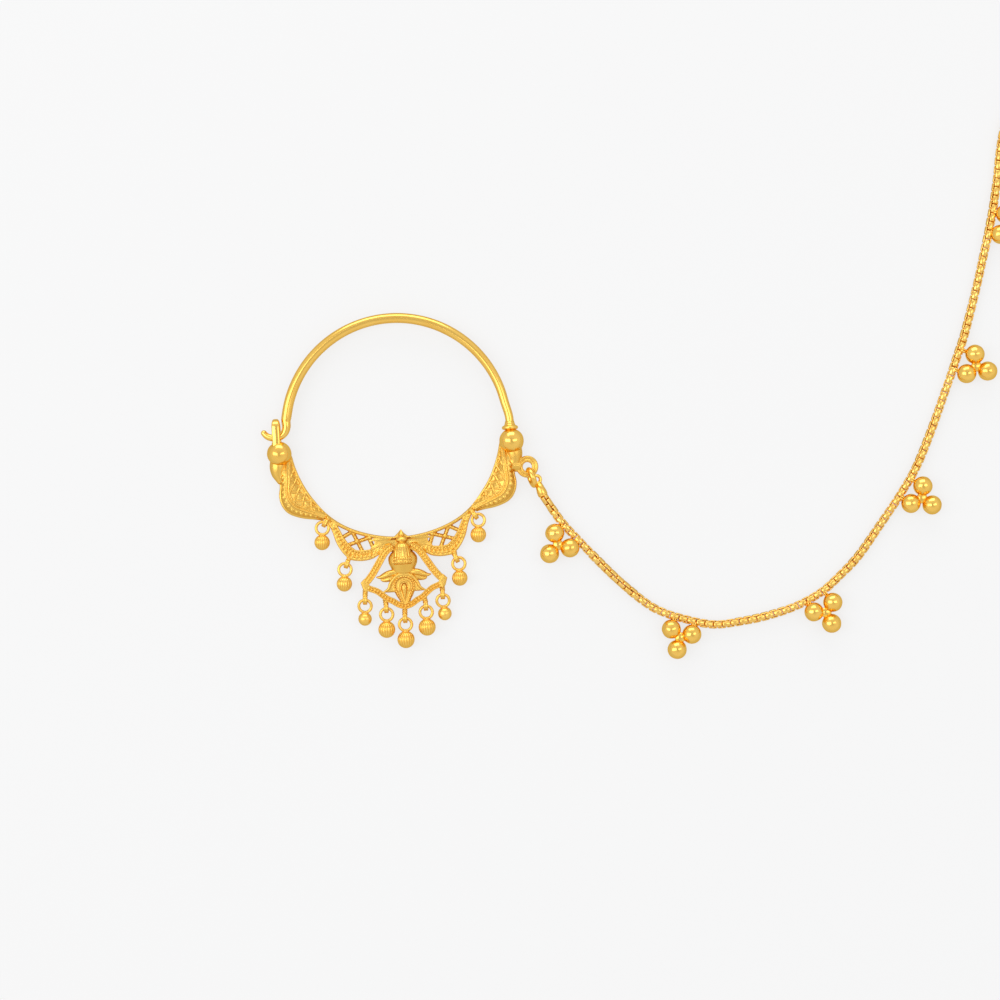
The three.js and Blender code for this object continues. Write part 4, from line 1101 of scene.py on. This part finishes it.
def middle_and_leaves():
    """The solid plate behind the pendant, its gable, and the leaves beside the dome."""
    shape = [on_ring(a, edge_radius(a) + 0.1)[:2] for a, _ in MIDDLE]
    shape += [on_ring(a, r)[:2] for a, r in MIDDLE[::-1]]
    parts = [slab(shape, 0, 0.9, 0.06), slab(GABLE, 0.3, 1.2, 0.12)]
    for rows in SIDE_LEAVES:
        parts += both_sides([leaf(rows, 0.8, 0.17)])
    return parts


def rim():
    """The smooth inner rim of the middle and the scallops."""
    angles = np.linspace(-RIM["half_angle"], RIM["half_angle"], 120)
    line = np.array([on_ring(a, edge_radius(a) + RIM["inset"]) for a in angles])
    return strip(line, RIM["width"], RIM["height"], 0)


def eyelet(carrier, place, root, lean):
    """An upright loop on a short stem that is wound with a few turns of wire."""
    height = EYELET_HEIGHT[carrier]
    a = math.radians(lean)
    out = np.array((math.sin(a), -math.cos(a), 0))
    middle = np.array((*place, height))
    across = (-out[1], out[0], 0)
    stem_end = middle - EYELET["radius"] * out
    start = np.array((*root, height))
    parts = [loop(middle + np.array(across) * shift, across, EYELET["radius"], EYELET["wire"], 28, 10)
             for shift in (-0.13, 0.13)]
    parts.append(bar(np.linspace(start, stem_end, 6), EYELET["stem"], 12))
    length = np.linalg.norm(stem_end - start)
    for share in np.arange(0.3, 0.98, EYELET["turn_step"] / max(length, 0.3)):
        place = start + share * (stem_end - start)
        parts.append(loop(place, stem_end - start, EYELET["turn"], EYELET["turn_wire"], 20, 8))
    return parts


def eyelets_of(carrier):
    """All the eyelets that a casting holds for drops."""
    parts = []
    for holder, place, root, lean, *_ in DROPS:
        if holder == carrier:
            parts += eyelet(carrier, place, root, lean)
    return parts


def make_wing():
    """The right wing with its neck. The left one is its mirror image."""
    cast = sizes("cast_sizes")
    fine, leaves = border_rows()
    return [wing_body(), *wing_relief(), neck(), grains([fine], 1.5 * cast.grain, 3, 0.1),
            grains([leaves], 2.9 * cast.grain, 7, 0.15)]


def make_right_wing():
    """The wing with the chain's eye, which is two rings of wire soldered into each other."""
    cast = sizes("cast_sizes")
    parts = make_wing() + [loop(EYE_PLACE, (0, 0, 1), radius, EYE_LOOPS["wire"], 44, 12)
                           for radius in EYE_LOOPS["radii"]]
    parts.append(bar(np.linspace(*np.array(EYE_SOLDER), 6), np.linspace(*EYE_SOLDER_RADII, 6), 16))
    parts.append(globe(EYE_FILLET["place"], EYE_FILLET["radius"]))
    return fused("right_wing", parts, cast.detail, cast.soften)


def make_left_wing():
    """The plain wing."""
    cast = sizes("cast_sizes")
    return fused("left_wing", [mirrored(solid) for solid in make_wing()], cast.detail, cast.soften)


def make_lower_crescent():
    """Rim, scallops, lattice, middle and eyelets."""
    cast = sizes("cast_sizes")
    band, rows = scallop()
    half = band + [grains(rows[:1], 2.6 * cast.grain, 8, 0.15), grains(rows[1:], 1.9 * cast.grain, 9)]
    parts = both_sides(half) + middle_and_leaves() + [rim()] + eyelets_of("crescent")
    return fused("lower_crescent", parts, cast.detail, cast.soften)


# The cast pendant

def leaf(rows, base, height):
    """A smooth lobe that swells and tapers along a line of (x, y, half width)."""
    line = curve_through([(x, y, base) for x, y, _ in rows], 8)
    half = np.abs(smooth_values([width for *_, width in rows]))
    _, side, _ = directions(line)
    turn = np.linspace(0, math.pi, 12)
    rings = line[:, None] + side[:, None] * (half[:, None] * np.cos(turn)[None])[..., None]
    rings[:, :, 2] = base + (half / half.max() * height)[:, None] * np.sin(turn)[None]
    return skin(rings)


def pendant_side():
    """The right strap, the lower edge, their corner and the petals, with rows of grains."""
    top = PENDANT_BACK
    strap_line, _ = evenly(curve_through(STRAP, 8), 0.12)
    lower_line, _ = evenly(curve_through(LOWER_EDGE, 8), 0.12)
    parts = [strip(strap_line, 0.86, 0.62, top), strip(lower_line, 0.7, 0.56, top),
             slab(CORNER, top, top + 0.74, 0.1)]
    rows = []
    for line, half, size, grain in ((strap_line, 0.34, 0.1, 0.19), (lower_line, 0.28, 0.09, 0.17)):
        for distance in (-half, half):
            edge = inside_line(line, distance)
            edge[:, 2] = top + 0.62
            parts.append(bar(edge, size, 8))
        row = line.copy()
        row[:, 2] = top + 0.57
        rows.append((row, grain))
    parts += [leaf(UPPER_LOBE, top + 0.3, 0.5), leaf(LOWER_LOBE, top + 0.2, 0.42)]
    return parts, rows


def arch(place, degrees, count):
    """Points of an open ring over the lotus, at a height above the pendant's back."""
    y, radius, height = (place[name] for name in ("y", "radius", "height"))
    return [(radius * math.sin(a), y - radius * math.cos(a), PENDANT_BACK + height)
            for a in np.radians(np.linspace(*degrees, count))]


def between_feet(foot, line):
    """The line with a foot before it, and the mirrored one after it."""
    right = [(x, y, PENDANT_BACK + z) for x, y, z in foot]
    return right + line + [(-x, y, z) for x, y, z in right[::-1]]


def lotus():
    """The flower's plate and rim, the horseshoe with its drop, and the row of beads round them."""
    top = PENDANT_BACK
    left = [(-x, y) for x, y in LOTUS[::-1] if x > 0]
    parts = [slab(list(LOTUS) + left, top, top + 0.66, 0.12)]
    outline = curve_through([(x, y, top + 0.66) for x, y in LOTUS_RIM], 8)
    taper = np.interp(np.linspace(0, 1, len(outline)), (0, 0.3, 1), (0.1, 0.2, 0.22))
    parts += both_sides([bar(outline, taper, 10)])
    parts.append(bar(between_feet(HORSESHOE_FOOT, arch(HORSESHOE, (90, 270), 25)), HORSESHOE["wire"], 10))
    parts.append(turned(HORSESHOE_DROP, 48, 8, 0.22, 0.85, top + 0.72))
    beads = between_feet(LOTUS_BEADS_FOOT, arch(LOTUS_BEADS, (62, 298), 60))
    return parts, [(np.array(beads), LOTUS_BEADS["bead"])]


def dome():
    """Bud, ribbed bell with two rows of beads, and the round pot behind it."""
    front = TURNED_MID + BELL_FORWARD
    parts = [turned(BUD, 32, flat=0.9, height=TURNED_MID), turned(POT, 48, flat=0.64, height=TURNED_MID),
             turned(BELL, 96, 18, 0.07, 1.0, front), turned(BELL_BAND, 48, height=front)]
    turn = np.radians(np.linspace(-8, 188, 60))
    across, out = BELL_BEADS["radius"] * np.cos(turn), BELL_BEADS["radius"] * np.sin(turn)
    rows = [(np.stack([across, np.full(len(turn), y), front + out], 1), BELL_BEADS["bead"])
            for y in BELL_BEADS["rows"]]
    return parts, rows


def above(solids, floor):
    """Keeps solids from reaching below a level, by pressing the lower points up to it."""
    for points, _ in solids:
        points[:, 2] = np.maximum(points[:, 2], floor)
    return solids


def make_pendant():
    """The whole pendant. It sits a little to the right of the crescent's middle."""
    cast = sizes("cast_sizes")
    side, side_rows = pendant_side()
    flower, flower_rows = lotus()
    dome_parts, dome_rows = dome()
    side.append(grains(side_rows, 0.37, 4))
    parts = both_sides(side) + flower + dome_parts
    parts.append(grains(flower_rows, 0.3, 5, 0.03))
    parts.append(grains(dome_rows, 0.29, 6, 0.03))
    parts = above(parts, PENDANT_BACK)
    for points, _ in parts:
        points[:, 0] += PENDANT_SHIFT
    return fused("pendant", parts + eyelets_of("pendant"), cast.detail * 0.85, cast.soften, keep=0.5)


# The drops

def make_drop(row):
    """A hollow ball, fluted below its cap, with the level ring that hangs on the eyelet."""
    carrier, place, _, lean, hang, radius, fluted = row
    height = EYELET_HEIGHT[carrier]
    ring_radius, ring_wire = DROP_RING["radius"], DROP_RING["wire"]
    flutes = sizes("ring_sizes").flutes
    eye = np.array((*place, height))
    a, h = math.radians(lean), math.radians(hang)
    ring_middle = eye + ring_radius * np.array((math.sin(a), -math.cos(a), 0))
    reach = ring_radius + ring_wire + radius - DROP_RING["sunk"]
    away = np.array((math.sin(h), -math.cos(h), 0))
    ball_middle = ring_middle + reach * away
    tilt = np.radians(np.linspace(0, 180, 41))
    swell = np.ones(41)
    if fluted:
        from_groove = (np.degrees(tilt) - DROP_GROOVE["at"]) / DROP_GROOVE["width"]
        swell -= DROP_GROOVE["depth"] * np.exp(-(from_groove ** 2))
    profile = [(radius * s * math.sin(t), radius * s * math.cos(t)) for t, s in zip(tilt, swell)]
    profile[0], profile[-1] = (0, radius), (0, -radius)
    depth = DROP_FLUTE["depth"] if fluted else 0
    points, faces = turned(profile, 8 * flutes, flutes, depth, sharp=DROP_FLUTE["sharp"])
    if fluted:
        smooth_cap = np.clip((points[:, 1] / radius - DROP_CAP["from"]) / DROP_CAP["over"], 0, 1)
        flat = points[:, [0, 2]]
        full = np.sqrt(np.maximum(radius**2 - points[:, 1] ** 2, 1e-9))
        now = np.maximum(np.linalg.norm(flat, axis=1), 1e-9)
        points[:, [0, 2]] = flat * (1 + smooth_cap * (DROP_CAP["radius"] * full / now - 1))[:, None]
    # Painted shade: how deep a point lies below the ball's round, so that the gold darkens along the flutes'
    # grooves.
    hollow = np.clip((1 - np.linalg.norm(points, axis=1) / radius) / 0.05, 0, 0.8)
    turn = np.array(Matrix.Rotation(h, 3, "Z"))
    ball = (points @ turn.T + ball_middle, faces)
    neck_line = np.linspace(ring_middle + (ring_radius + 0.02) * away, ball_middle - (radius - 0.1) * away, 5)
    neck_bar = bar(neck_line, DROP_NECK, 20)
    collar = loop(ball_middle - (radius - 0.05) * away, away, DROP_COLLAR["radius"], DROP_COLLAR["wire"],
                  28, 8)
    ring = loop(ring_middle, (0, 0, 1), ring_radius, ring_wire, 44, 14)
    points, faces = gather([ball, neck_bar, collar, ring], check=True)
    tip = math.asin((height - radius) / np.linalg.norm(eye - ball_middle))
    tipped = (points - eye) @ np.array(Matrix.Rotation(tip, 3, "X")).T + eye
    mesh = new_mesh("drop", [(tipped, faces)], check=False)
    store(mesh, "hollow", np.concatenate([hollow, np.zeros(len(points) - len(hollow))]))
    return mesh


# The chain, its clusters and its ends

def chain_route():
    """The chain's middle line, raised where the clusters' rings and the end caps hold it."""
    flat, at = evenly(curve_through(CHAIN_LINE, 24), 0.1)
    flat -= CHAIN_ASIDE * directions(flat)[1]
    held = []
    for middle, far in CLUSTERS:
        for ball in cluster_balls(middle, far)[1:]:
            held.append(at[np.argmin(np.linalg.norm(flat - ball, axis=1))])
    near = [CLUSTER_LIFT * np.exp(-(((at - h) / LIFT_REACH) ** 2)) for h in held]
    near.append(START_LIFT * np.exp(-((at / LIFT_REACH) ** 2)))
    near.append(FAR_LIFT * np.exp(-(((at - at[-1]) / LIFT_REACH) ** 2)))
    line = flat.copy()
    line[:, 2] = CHAIN_LOW + np.max(near, axis=0)
    return line, at


def cluster_balls(middle, far):
    """Where a cluster's three balls stand, the one away from the chain first."""
    reach = sizes("chain_sizes").cluster_reach
    turns = [math.radians(far + turn) for turn in (0, 120, 240)]
    return [np.array((middle[0] + reach * math.cos(a), middle[1] + reach * math.sin(a), 0)) for a in turns]


def chain_roll(at):
    """How far the chain is rolled about its own line: on edge at its start and past the first cluster."""
    start = np.exp(-((at / ROLL["start_reach"]) ** 4))
    past_cluster = np.exp(-(((at - ROLL["second"]) / ROLL["second_reach"]) ** 4))
    sway = ROLL["sway"] * np.sin(at / ROLL["sway_length"])
    return math.radians(ROLL["angle"]) * np.maximum(start, past_cluster) + sway


def make_chain():
    """All the links of the box chain."""
    size = sizes("chain_sizes")
    line, at = chain_route()
    mesh = bpy.data.meshes.new("chain_route")
    mesh.from_pydata(line.tolist(), [(i, i + 1) for i in range(len(line) - 1)], [])
    store(mesh, "roll", chain_roll(at))
    route = new_object("chain_route", mesh)
    run_tree(route, box_chain_tree(), {
        "Pitch": size.pitch, "Link size": size.link_size, "Link length": size.link_length,
        "Band width": size.band_width, "Band thickness": size.band_thickness, "Looseness": 0.05,
        "Seed": 5, "Material": link_gold(),
    })
    return plain_mesh(route, "chain")


def make_cluster(row, number):
    """Three balls on a small disc, and the rings of two of them on the chain."""
    size = sizes("chain_sizes")
    middle, far = row
    radius = size.cluster_ball
    line, _ = chain_route()
    balls = [ball + (0, 0, radius) for ball in cluster_balls(middle, far)]
    shells = []
    for i, ball in enumerate(balls):
        mesh = new_mesh("ball", [globe(ball, radius, 48, 32)])
        dented(mesh, sizes("ring_sizes").dents, 0.6, 3 * number + i)
        shells.append(solid_of(mesh))
        bpy.data.meshes.remove(mesh)
    disc = (*middle, radius + CLUSTER_DISC["lift"])
    parts = shells + [globe(disc, CLUSTER_DISC["radius"], 32, 20, (1, 1, CLUSTER_DISC["flatness"]))]
    for ball in balls[1:]:
        near = np.argmin(np.linalg.norm((line - ball)[:, :2], axis=1))
        centre = line[near]
        along = line[near + 1] - line[near - 1]
        along /= np.linalg.norm(along)
        towards = ball - centre
        towards /= np.linalg.norm(towards)
        parts += [loop(centre + towards * CLUSTER_RING["out"] + along * shift, along,
                       CLUSTER_RING["radius"], CLUSTER_RING["wire"], 32, 10)
                  for shift in (-CLUSTER_RING["apart"], CLUSTER_RING["apart"])]
        parts.append(bar(np.linspace(centre + towards * 0.7, ball - towards * (radius - 0.15), 4),
                         (0.2, 0.26, 0.34, 0.4), 14))
    return new_mesh(f"cluster_{number}", parts)


def link_frame():
    """The jump ring's start, its long direction and its steep one."""
    start, end = np.array((*LINK["from"], 0)), np.array((*LINK["to"], 0))
    along = end - start
    level = np.array((-along[1], along[0], 0)) / np.linalg.norm(along)
    pitch = math.radians(LINK["pitch"])
    return start, along, level * math.cos(pitch) + np.array((0, 0, math.sin(pitch)))


def make_chain_ring():
    """The oval jump ring."""
    start, along, steep = link_frame()
    middle = start + 0.5 * along + (0, 0, LINK["height"])
    return new_mesh("chain_ring", [oval(middle, 0.5 * along, LINK["half_width"] * steep, LINK["wire"])])


def end_cap(chain_end, eye, eye_axis):
    """A small folded cap on the chain's end, with its eyelet."""
    along = (eye - chain_end) / np.linalg.norm(eye - chain_end)
    line = [chain_end + along * distance for distance, _ in CAP] + [eye - along * CAP_FOOT["before_eye"]]
    radius = [radius for _, radius in CAP] + [CAP_FOOT["radius"]]
    return [bar(line, radius, 20), loop(eye, eye_axis, CAP_EYE["radius"], CAP_EYE["wire"], 36, 14),
            loop(line[1], along, CAP_HEM["radius"], CAP_HEM["wire"], 30, 8)]


def make_chain_end():
    """The cap between the jump ring and the chain."""
    line, _ = chain_route()
    _, _, steep = link_frame()
    eye = np.array((*CAP_EYE["place"], LINK["height"]))
    return new_mesh("chain_end", end_cap(line[0], eye, steep))


def far_eye():
    """The chain's far end, its level direction there, and the far cap's eye."""
    line, _ = chain_route()
    along = line[-1] - line[-3]
    along[2] = 0
    along /= np.linalg.norm(along)
    return line[-1], along, line[-1] + along * FAR_CAP_LENGTH


def make_far_end():
    """The cap at the hair's end of the chain."""
    end, along, eye = far_eye()
    return new_mesh("far_end", end_cap(end, eye, (-along[1], along[0], 0)))


def make_hair_hook():
    """A level ring, a straight shank and a bend back to a thinned tip."""
    _, along, eye = far_eye()
    side = np.array((along[1], -along[0], 0))
    middle = eye + along * HOOK_RING["radius"]
    wire, bend, length = HAIR_HOOK["wire"], HAIR_HOOK["bend"], HAIR_HOOK["length"]
    low = wire + HAIR_HOOK["above_floor"]

    def at(forward, across, z):
        point = middle + along * forward + side * across
        return point[0], point[1], z

    points = [at(0.8, 0, eye[2]), at(1.8, 0, 0.6 * (eye[2] + low)), at(3.0, 0, low), at(5, 0, low)]
    points += [at(length + bend * math.sin(a), bend * (1 - math.cos(a)), low)
               for a in np.radians(np.linspace(0, 180, 9))]
    points.append(at(length - HAIR_HOOK["tip"], 2.3 * bend, low))
    line = curve_through(points, 6)
    share = np.linspace(0, 1, len(line))
    radius = wire * np.interp(share, (0, 0.85, 0.97, 1), (1, 1, 0.62, 0.3))
    return new_mesh("hair_hook", [bar(line, radius, 16),
                                  loop(middle, (0, 0, 1), HOOK_RING["radius"], HOOK_RING["wire"], 40, 12)])


# Studio

def soft_box(name, towards, width, height, brightness):
    """A soft box that faces the middle of the picture from a direction."""
    light = bpy.data.lights.new(name, "AREA")
    light.shape = "RECTANGLE"
    light.size, light.size_y = width, height
    light.energy = brightness * width * height * math.pi
    obj = new_object(name, light)
    studio = sizes("studio_sizes")
    direction = Vector(towards).normalized()
    obj.location = Vector((studio.view_x, studio.view_y, 0)) + direction * BOX_DISTANCE
    obj.rotation_euler = direction.to_track_quat("Z", "Y").to_euler()


def make_room(strength):
    """Even light from all round, a little darker straight above and straight below."""
    world = bpy.data.worlds.new("room")
    bpy.context.scene.world = world
    world.use_nodes = True
    nodes, links = world.node_tree.nodes, world.node_tree.links
    background = nodes["Background"]
    background.inputs["Strength"].default_value = strength
    place = nodes.new("ShaderNodeTexCoord")
    split = nodes.new("ShaderNodeSeparateXYZ")
    links.new(place.outputs["Generated"], split.inputs["Vector"])
    ramp = nodes.new("ShaderNodeValToRGB")
    elements = ramp.color_ramp.elements
    while len(elements) < len(ROOM_LEVELS):
        elements.new(0.5)
    for element, (position, level) in zip(elements, ROOM_LEVELS):
        element.position = position
        element.color = (level, level, level, 1)
    height = nodes.new("ShaderNodeMapRange")
    height.inputs["From Min"].default_value = -1
    links.new(split.outputs["Z"], height.inputs["Value"])
    links.new(height.outputs["Result"], ramp.inputs["Fac"])
    links.new(ramp.outputs["Color"], background.inputs["Color"])


def make_floor(colour, glow):
    """A white sheet that is lit from below too, so that shadows on it stay faint."""
    corners = [(FLOOR_HALF * x, FLOOR_HALF * y, 0) for x, y in ((-1, -1), (1, -1), (1, 1), (-1, 1))]
    mesh = bpy.data.meshes.new("floor")
    mesh.from_pydata(corners, [], [(0, 1, 2, 3)])
    floor = new_object("floor", mesh)
    material = bpy.data.materials.new("white_floor")
    material.use_nodes = True
    nodes, links = material.node_tree.nodes, material.node_tree.links
    shader = nodes["Principled BSDF"]
    shader.inputs["Roughness"].default_value = 0.8
    shader.inputs["Specular IOR Level"].default_value = 0.1
    place = nodes.new("ShaderNodeTexCoord")
    paper = nodes.new("ShaderNodeTexNoise")
    paper.inputs["Scale"].default_value = 60
    tint = nodes.new("ShaderNodeMix")
    tint.data_type = "RGBA"
    tint.inputs["A"].default_value = (*colour, 1)
    tint.inputs["B"].default_value = (*(0.985 * c for c in colour), 1)
    links.new(place.outputs["Object"], paper.inputs["Vector"])
    links.new(paper.outputs["Fac"], tint.inputs["Factor"])
    links.new(tint.outputs["Result"], shader.inputs["Base Color"])
    shader.inputs["Emission Color"].default_value = (1.0, 1.0, 1.0, 1.0)
    shader.inputs["Emission Strength"].default_value = glow
    mesh.materials.append(material)
    floor.visible_glossy = False


def make_camera():
    """A camera straight above the middle of the picture."""
    studio = sizes("studio_sizes")
    camera = bpy.data.cameras.new("camera")
    camera.lens = studio.lens
    camera.sensor_width = 36
    distance = studio.view_width / 2 / (camera.sensor_width / 2 / camera.lens)
    camera.clip_start, camera.clip_end = 0.01, 5
    obj = new_object("camera", camera)
    obj.location = (studio.view_x, studio.view_y, distance)
    bpy.context.scene.camera = obj


# Operators

class NOSERING_OT_hoop(bpy.types.Operator):
    """Make the hoop wire and the two end balls"""
    bl_idname = "nosering.hoop"
    bl_label = "Hoop and balls"

    def execute(self, context):
        gold_look = polished_gold()
        finished("wire", make_hoop_wire(), ["hoop_wire"], gold_look, FROM_RING)
        finished("ball_right", make_end_ball(), ["end_ball"], gold_look, FROM_RING)
        finished("ball_left", make_catch_ball(), ["catch_ball"], gold_look, FROM_RING)
        return {"FINISHED"}


class NOSERING_OT_crescent(bpy.types.Operator):
    """Make the cast crescent with its wings, scallops, lattice and eyelets"""
    bl_idname = "nosering.crescent"
    bl_label = "Crescent"

    def execute(self, context):
        for name, mesh in (("wing_left", make_left_wing()), ("wing_right", make_right_wing()),
                           ("crescent_middle", make_lower_crescent())):
            finished(name, mesh, ["crescent"], cast_gold(), FROM_RING)
        return {"FINISHED"}


class NOSERING_OT_pendant(bpy.types.Operator):
    """Make the cast pendant"""
    bl_idname = "nosering.pendant"
    bl_label = "Pendant"

    def execute(self, context):
        finished("cast_pendant", make_pendant(), ["pendant"], cast_gold(), FROM_RING)
        return {"FINISHED"}


class NOSERING_OT_drops(bpy.types.Operator):
    """Make the ball drops"""
    bl_idname = "nosering.drops"
    bl_label = "Drops"

    def execute(self, context):
        for number, row in enumerate(DROPS, 1):
            finished(f"ball_drop_{number}", make_drop(row), [f"drop_{number}"],
                     drop_gold(), FROM_RING)
        return {"FINISHED"}


class NOSERING_OT_chain(bpy.types.Operator):
    """Make the box chain with its ring, caps and hair hook"""
    bl_idname = "nosering.chain"
    bl_label = "Chain and ends"

    def execute(self, context):
        finished("box_chain", make_chain(), ["chain"], link_gold(), FROM_FLOOR)
        for name, mesh, node in (("jump_ring", make_chain_ring(), "chain_ring"),
                                 ("near_cap", make_chain_end(), "chain_end"),
                                 ("far_cap", make_far_end(), "far_end"),
                                 ("hook", make_hair_hook(), "hair_hook")):
            finished(name, mesh, [node], polished_gold(), FROM_FLOOR)
        return {"FINISHED"}


class NOSERING_OT_clusters(bpy.types.Operator):
    """Make the ball clusters on the chain"""
    bl_idname = "nosering.clusters"
    bl_label = "Clusters"

    def execute(self, context):
        for number, row in enumerate(CLUSTERS, 1):
            finished(f"ball_cluster_{number}", make_cluster(row, number), [f"cluster_{number}"],
                     polished_gold(), FROM_FLOOR)
        return {"FINISHED"}


class NOSERING_OT_studio(bpy.types.Operator):
    """Make the white floor, the soft light and the camera"""
    bl_idname = "nosering.studio"
    bl_label = "Studio"

    def execute(self, context):
        studio = sizes("studio_sizes")
        make_floor(studio.floor_colour, studio.floor_glow)
        make_room(studio.room_light)
        for name, towards, width, height, brightness in SOFT_BOXES:
            soft_box(name, towards, width, height, brightness * studio.box_light)
        make_camera()
        bpy.context.scene.view_settings.view_transform = "Standard"
        return {"FINISHED"}


class NOSERING_PT_panel(bpy.types.Panel):
    """Lists the pieces and their sizes"""
    bl_idname = "NOSERING_PT_panel"
    bl_label = "Nose Ring"
    bl_space_type = "VIEW_3D"
    bl_region_type = "UI"
    bl_category = "Nose Ring"

    def draw(self, context):
        for group, kind in GROUPS.items():
            box = self.layout.box()
            for name in kind.__annotations__:
                box.prop(getattr(context.scene, group), name)
        for operator in OPERATORS:
            self.layout.operator(operator.bl_idname)


GROUPS = {"ring_sizes": RingSizes, "cast_sizes": CastSizes, "chain_sizes": ChainSizes,
          "gold_looks": GoldLooks, "studio_sizes": StudioSizes}
OPERATORS = (NOSERING_OT_hoop, NOSERING_OT_crescent, NOSERING_OT_pendant, NOSERING_OT_drops,
             NOSERING_OT_chain, NOSERING_OT_clusters, NOSERING_OT_studio)


def register():
    """Makes the classes known, and gives the scene its groups of sizes."""
    for kind in (*GROUPS.values(), *OPERATORS, NOSERING_PT_panel):
        bpy.utils.register_class(kind)
    for name, kind in GROUPS.items():
        setattr(bpy.types.Scene, name, bpy.props.PointerProperty(type=kind))


def unregister():
    """Takes back what register did."""
    for name in GROUPS:
        delattr(bpy.types.Scene, name)
    for kind in reversed((*GROUPS.values(), *OPERATORS, NOSERING_PT_panel)):
        bpy.utils.unregister_class(kind)


def main():
    """Builds everything in order."""
    register()
    bpy.ops.nosering.hoop()
    bpy.ops.nosering.crescent()
    bpy.ops.nosering.pendant()
    bpy.ops.nosering.drops()
    bpy.ops.nosering.chain()
    bpy.ops.nosering.clusters()
    bpy.ops.nosering.studio()


if __name__ == "__main__":
    main()
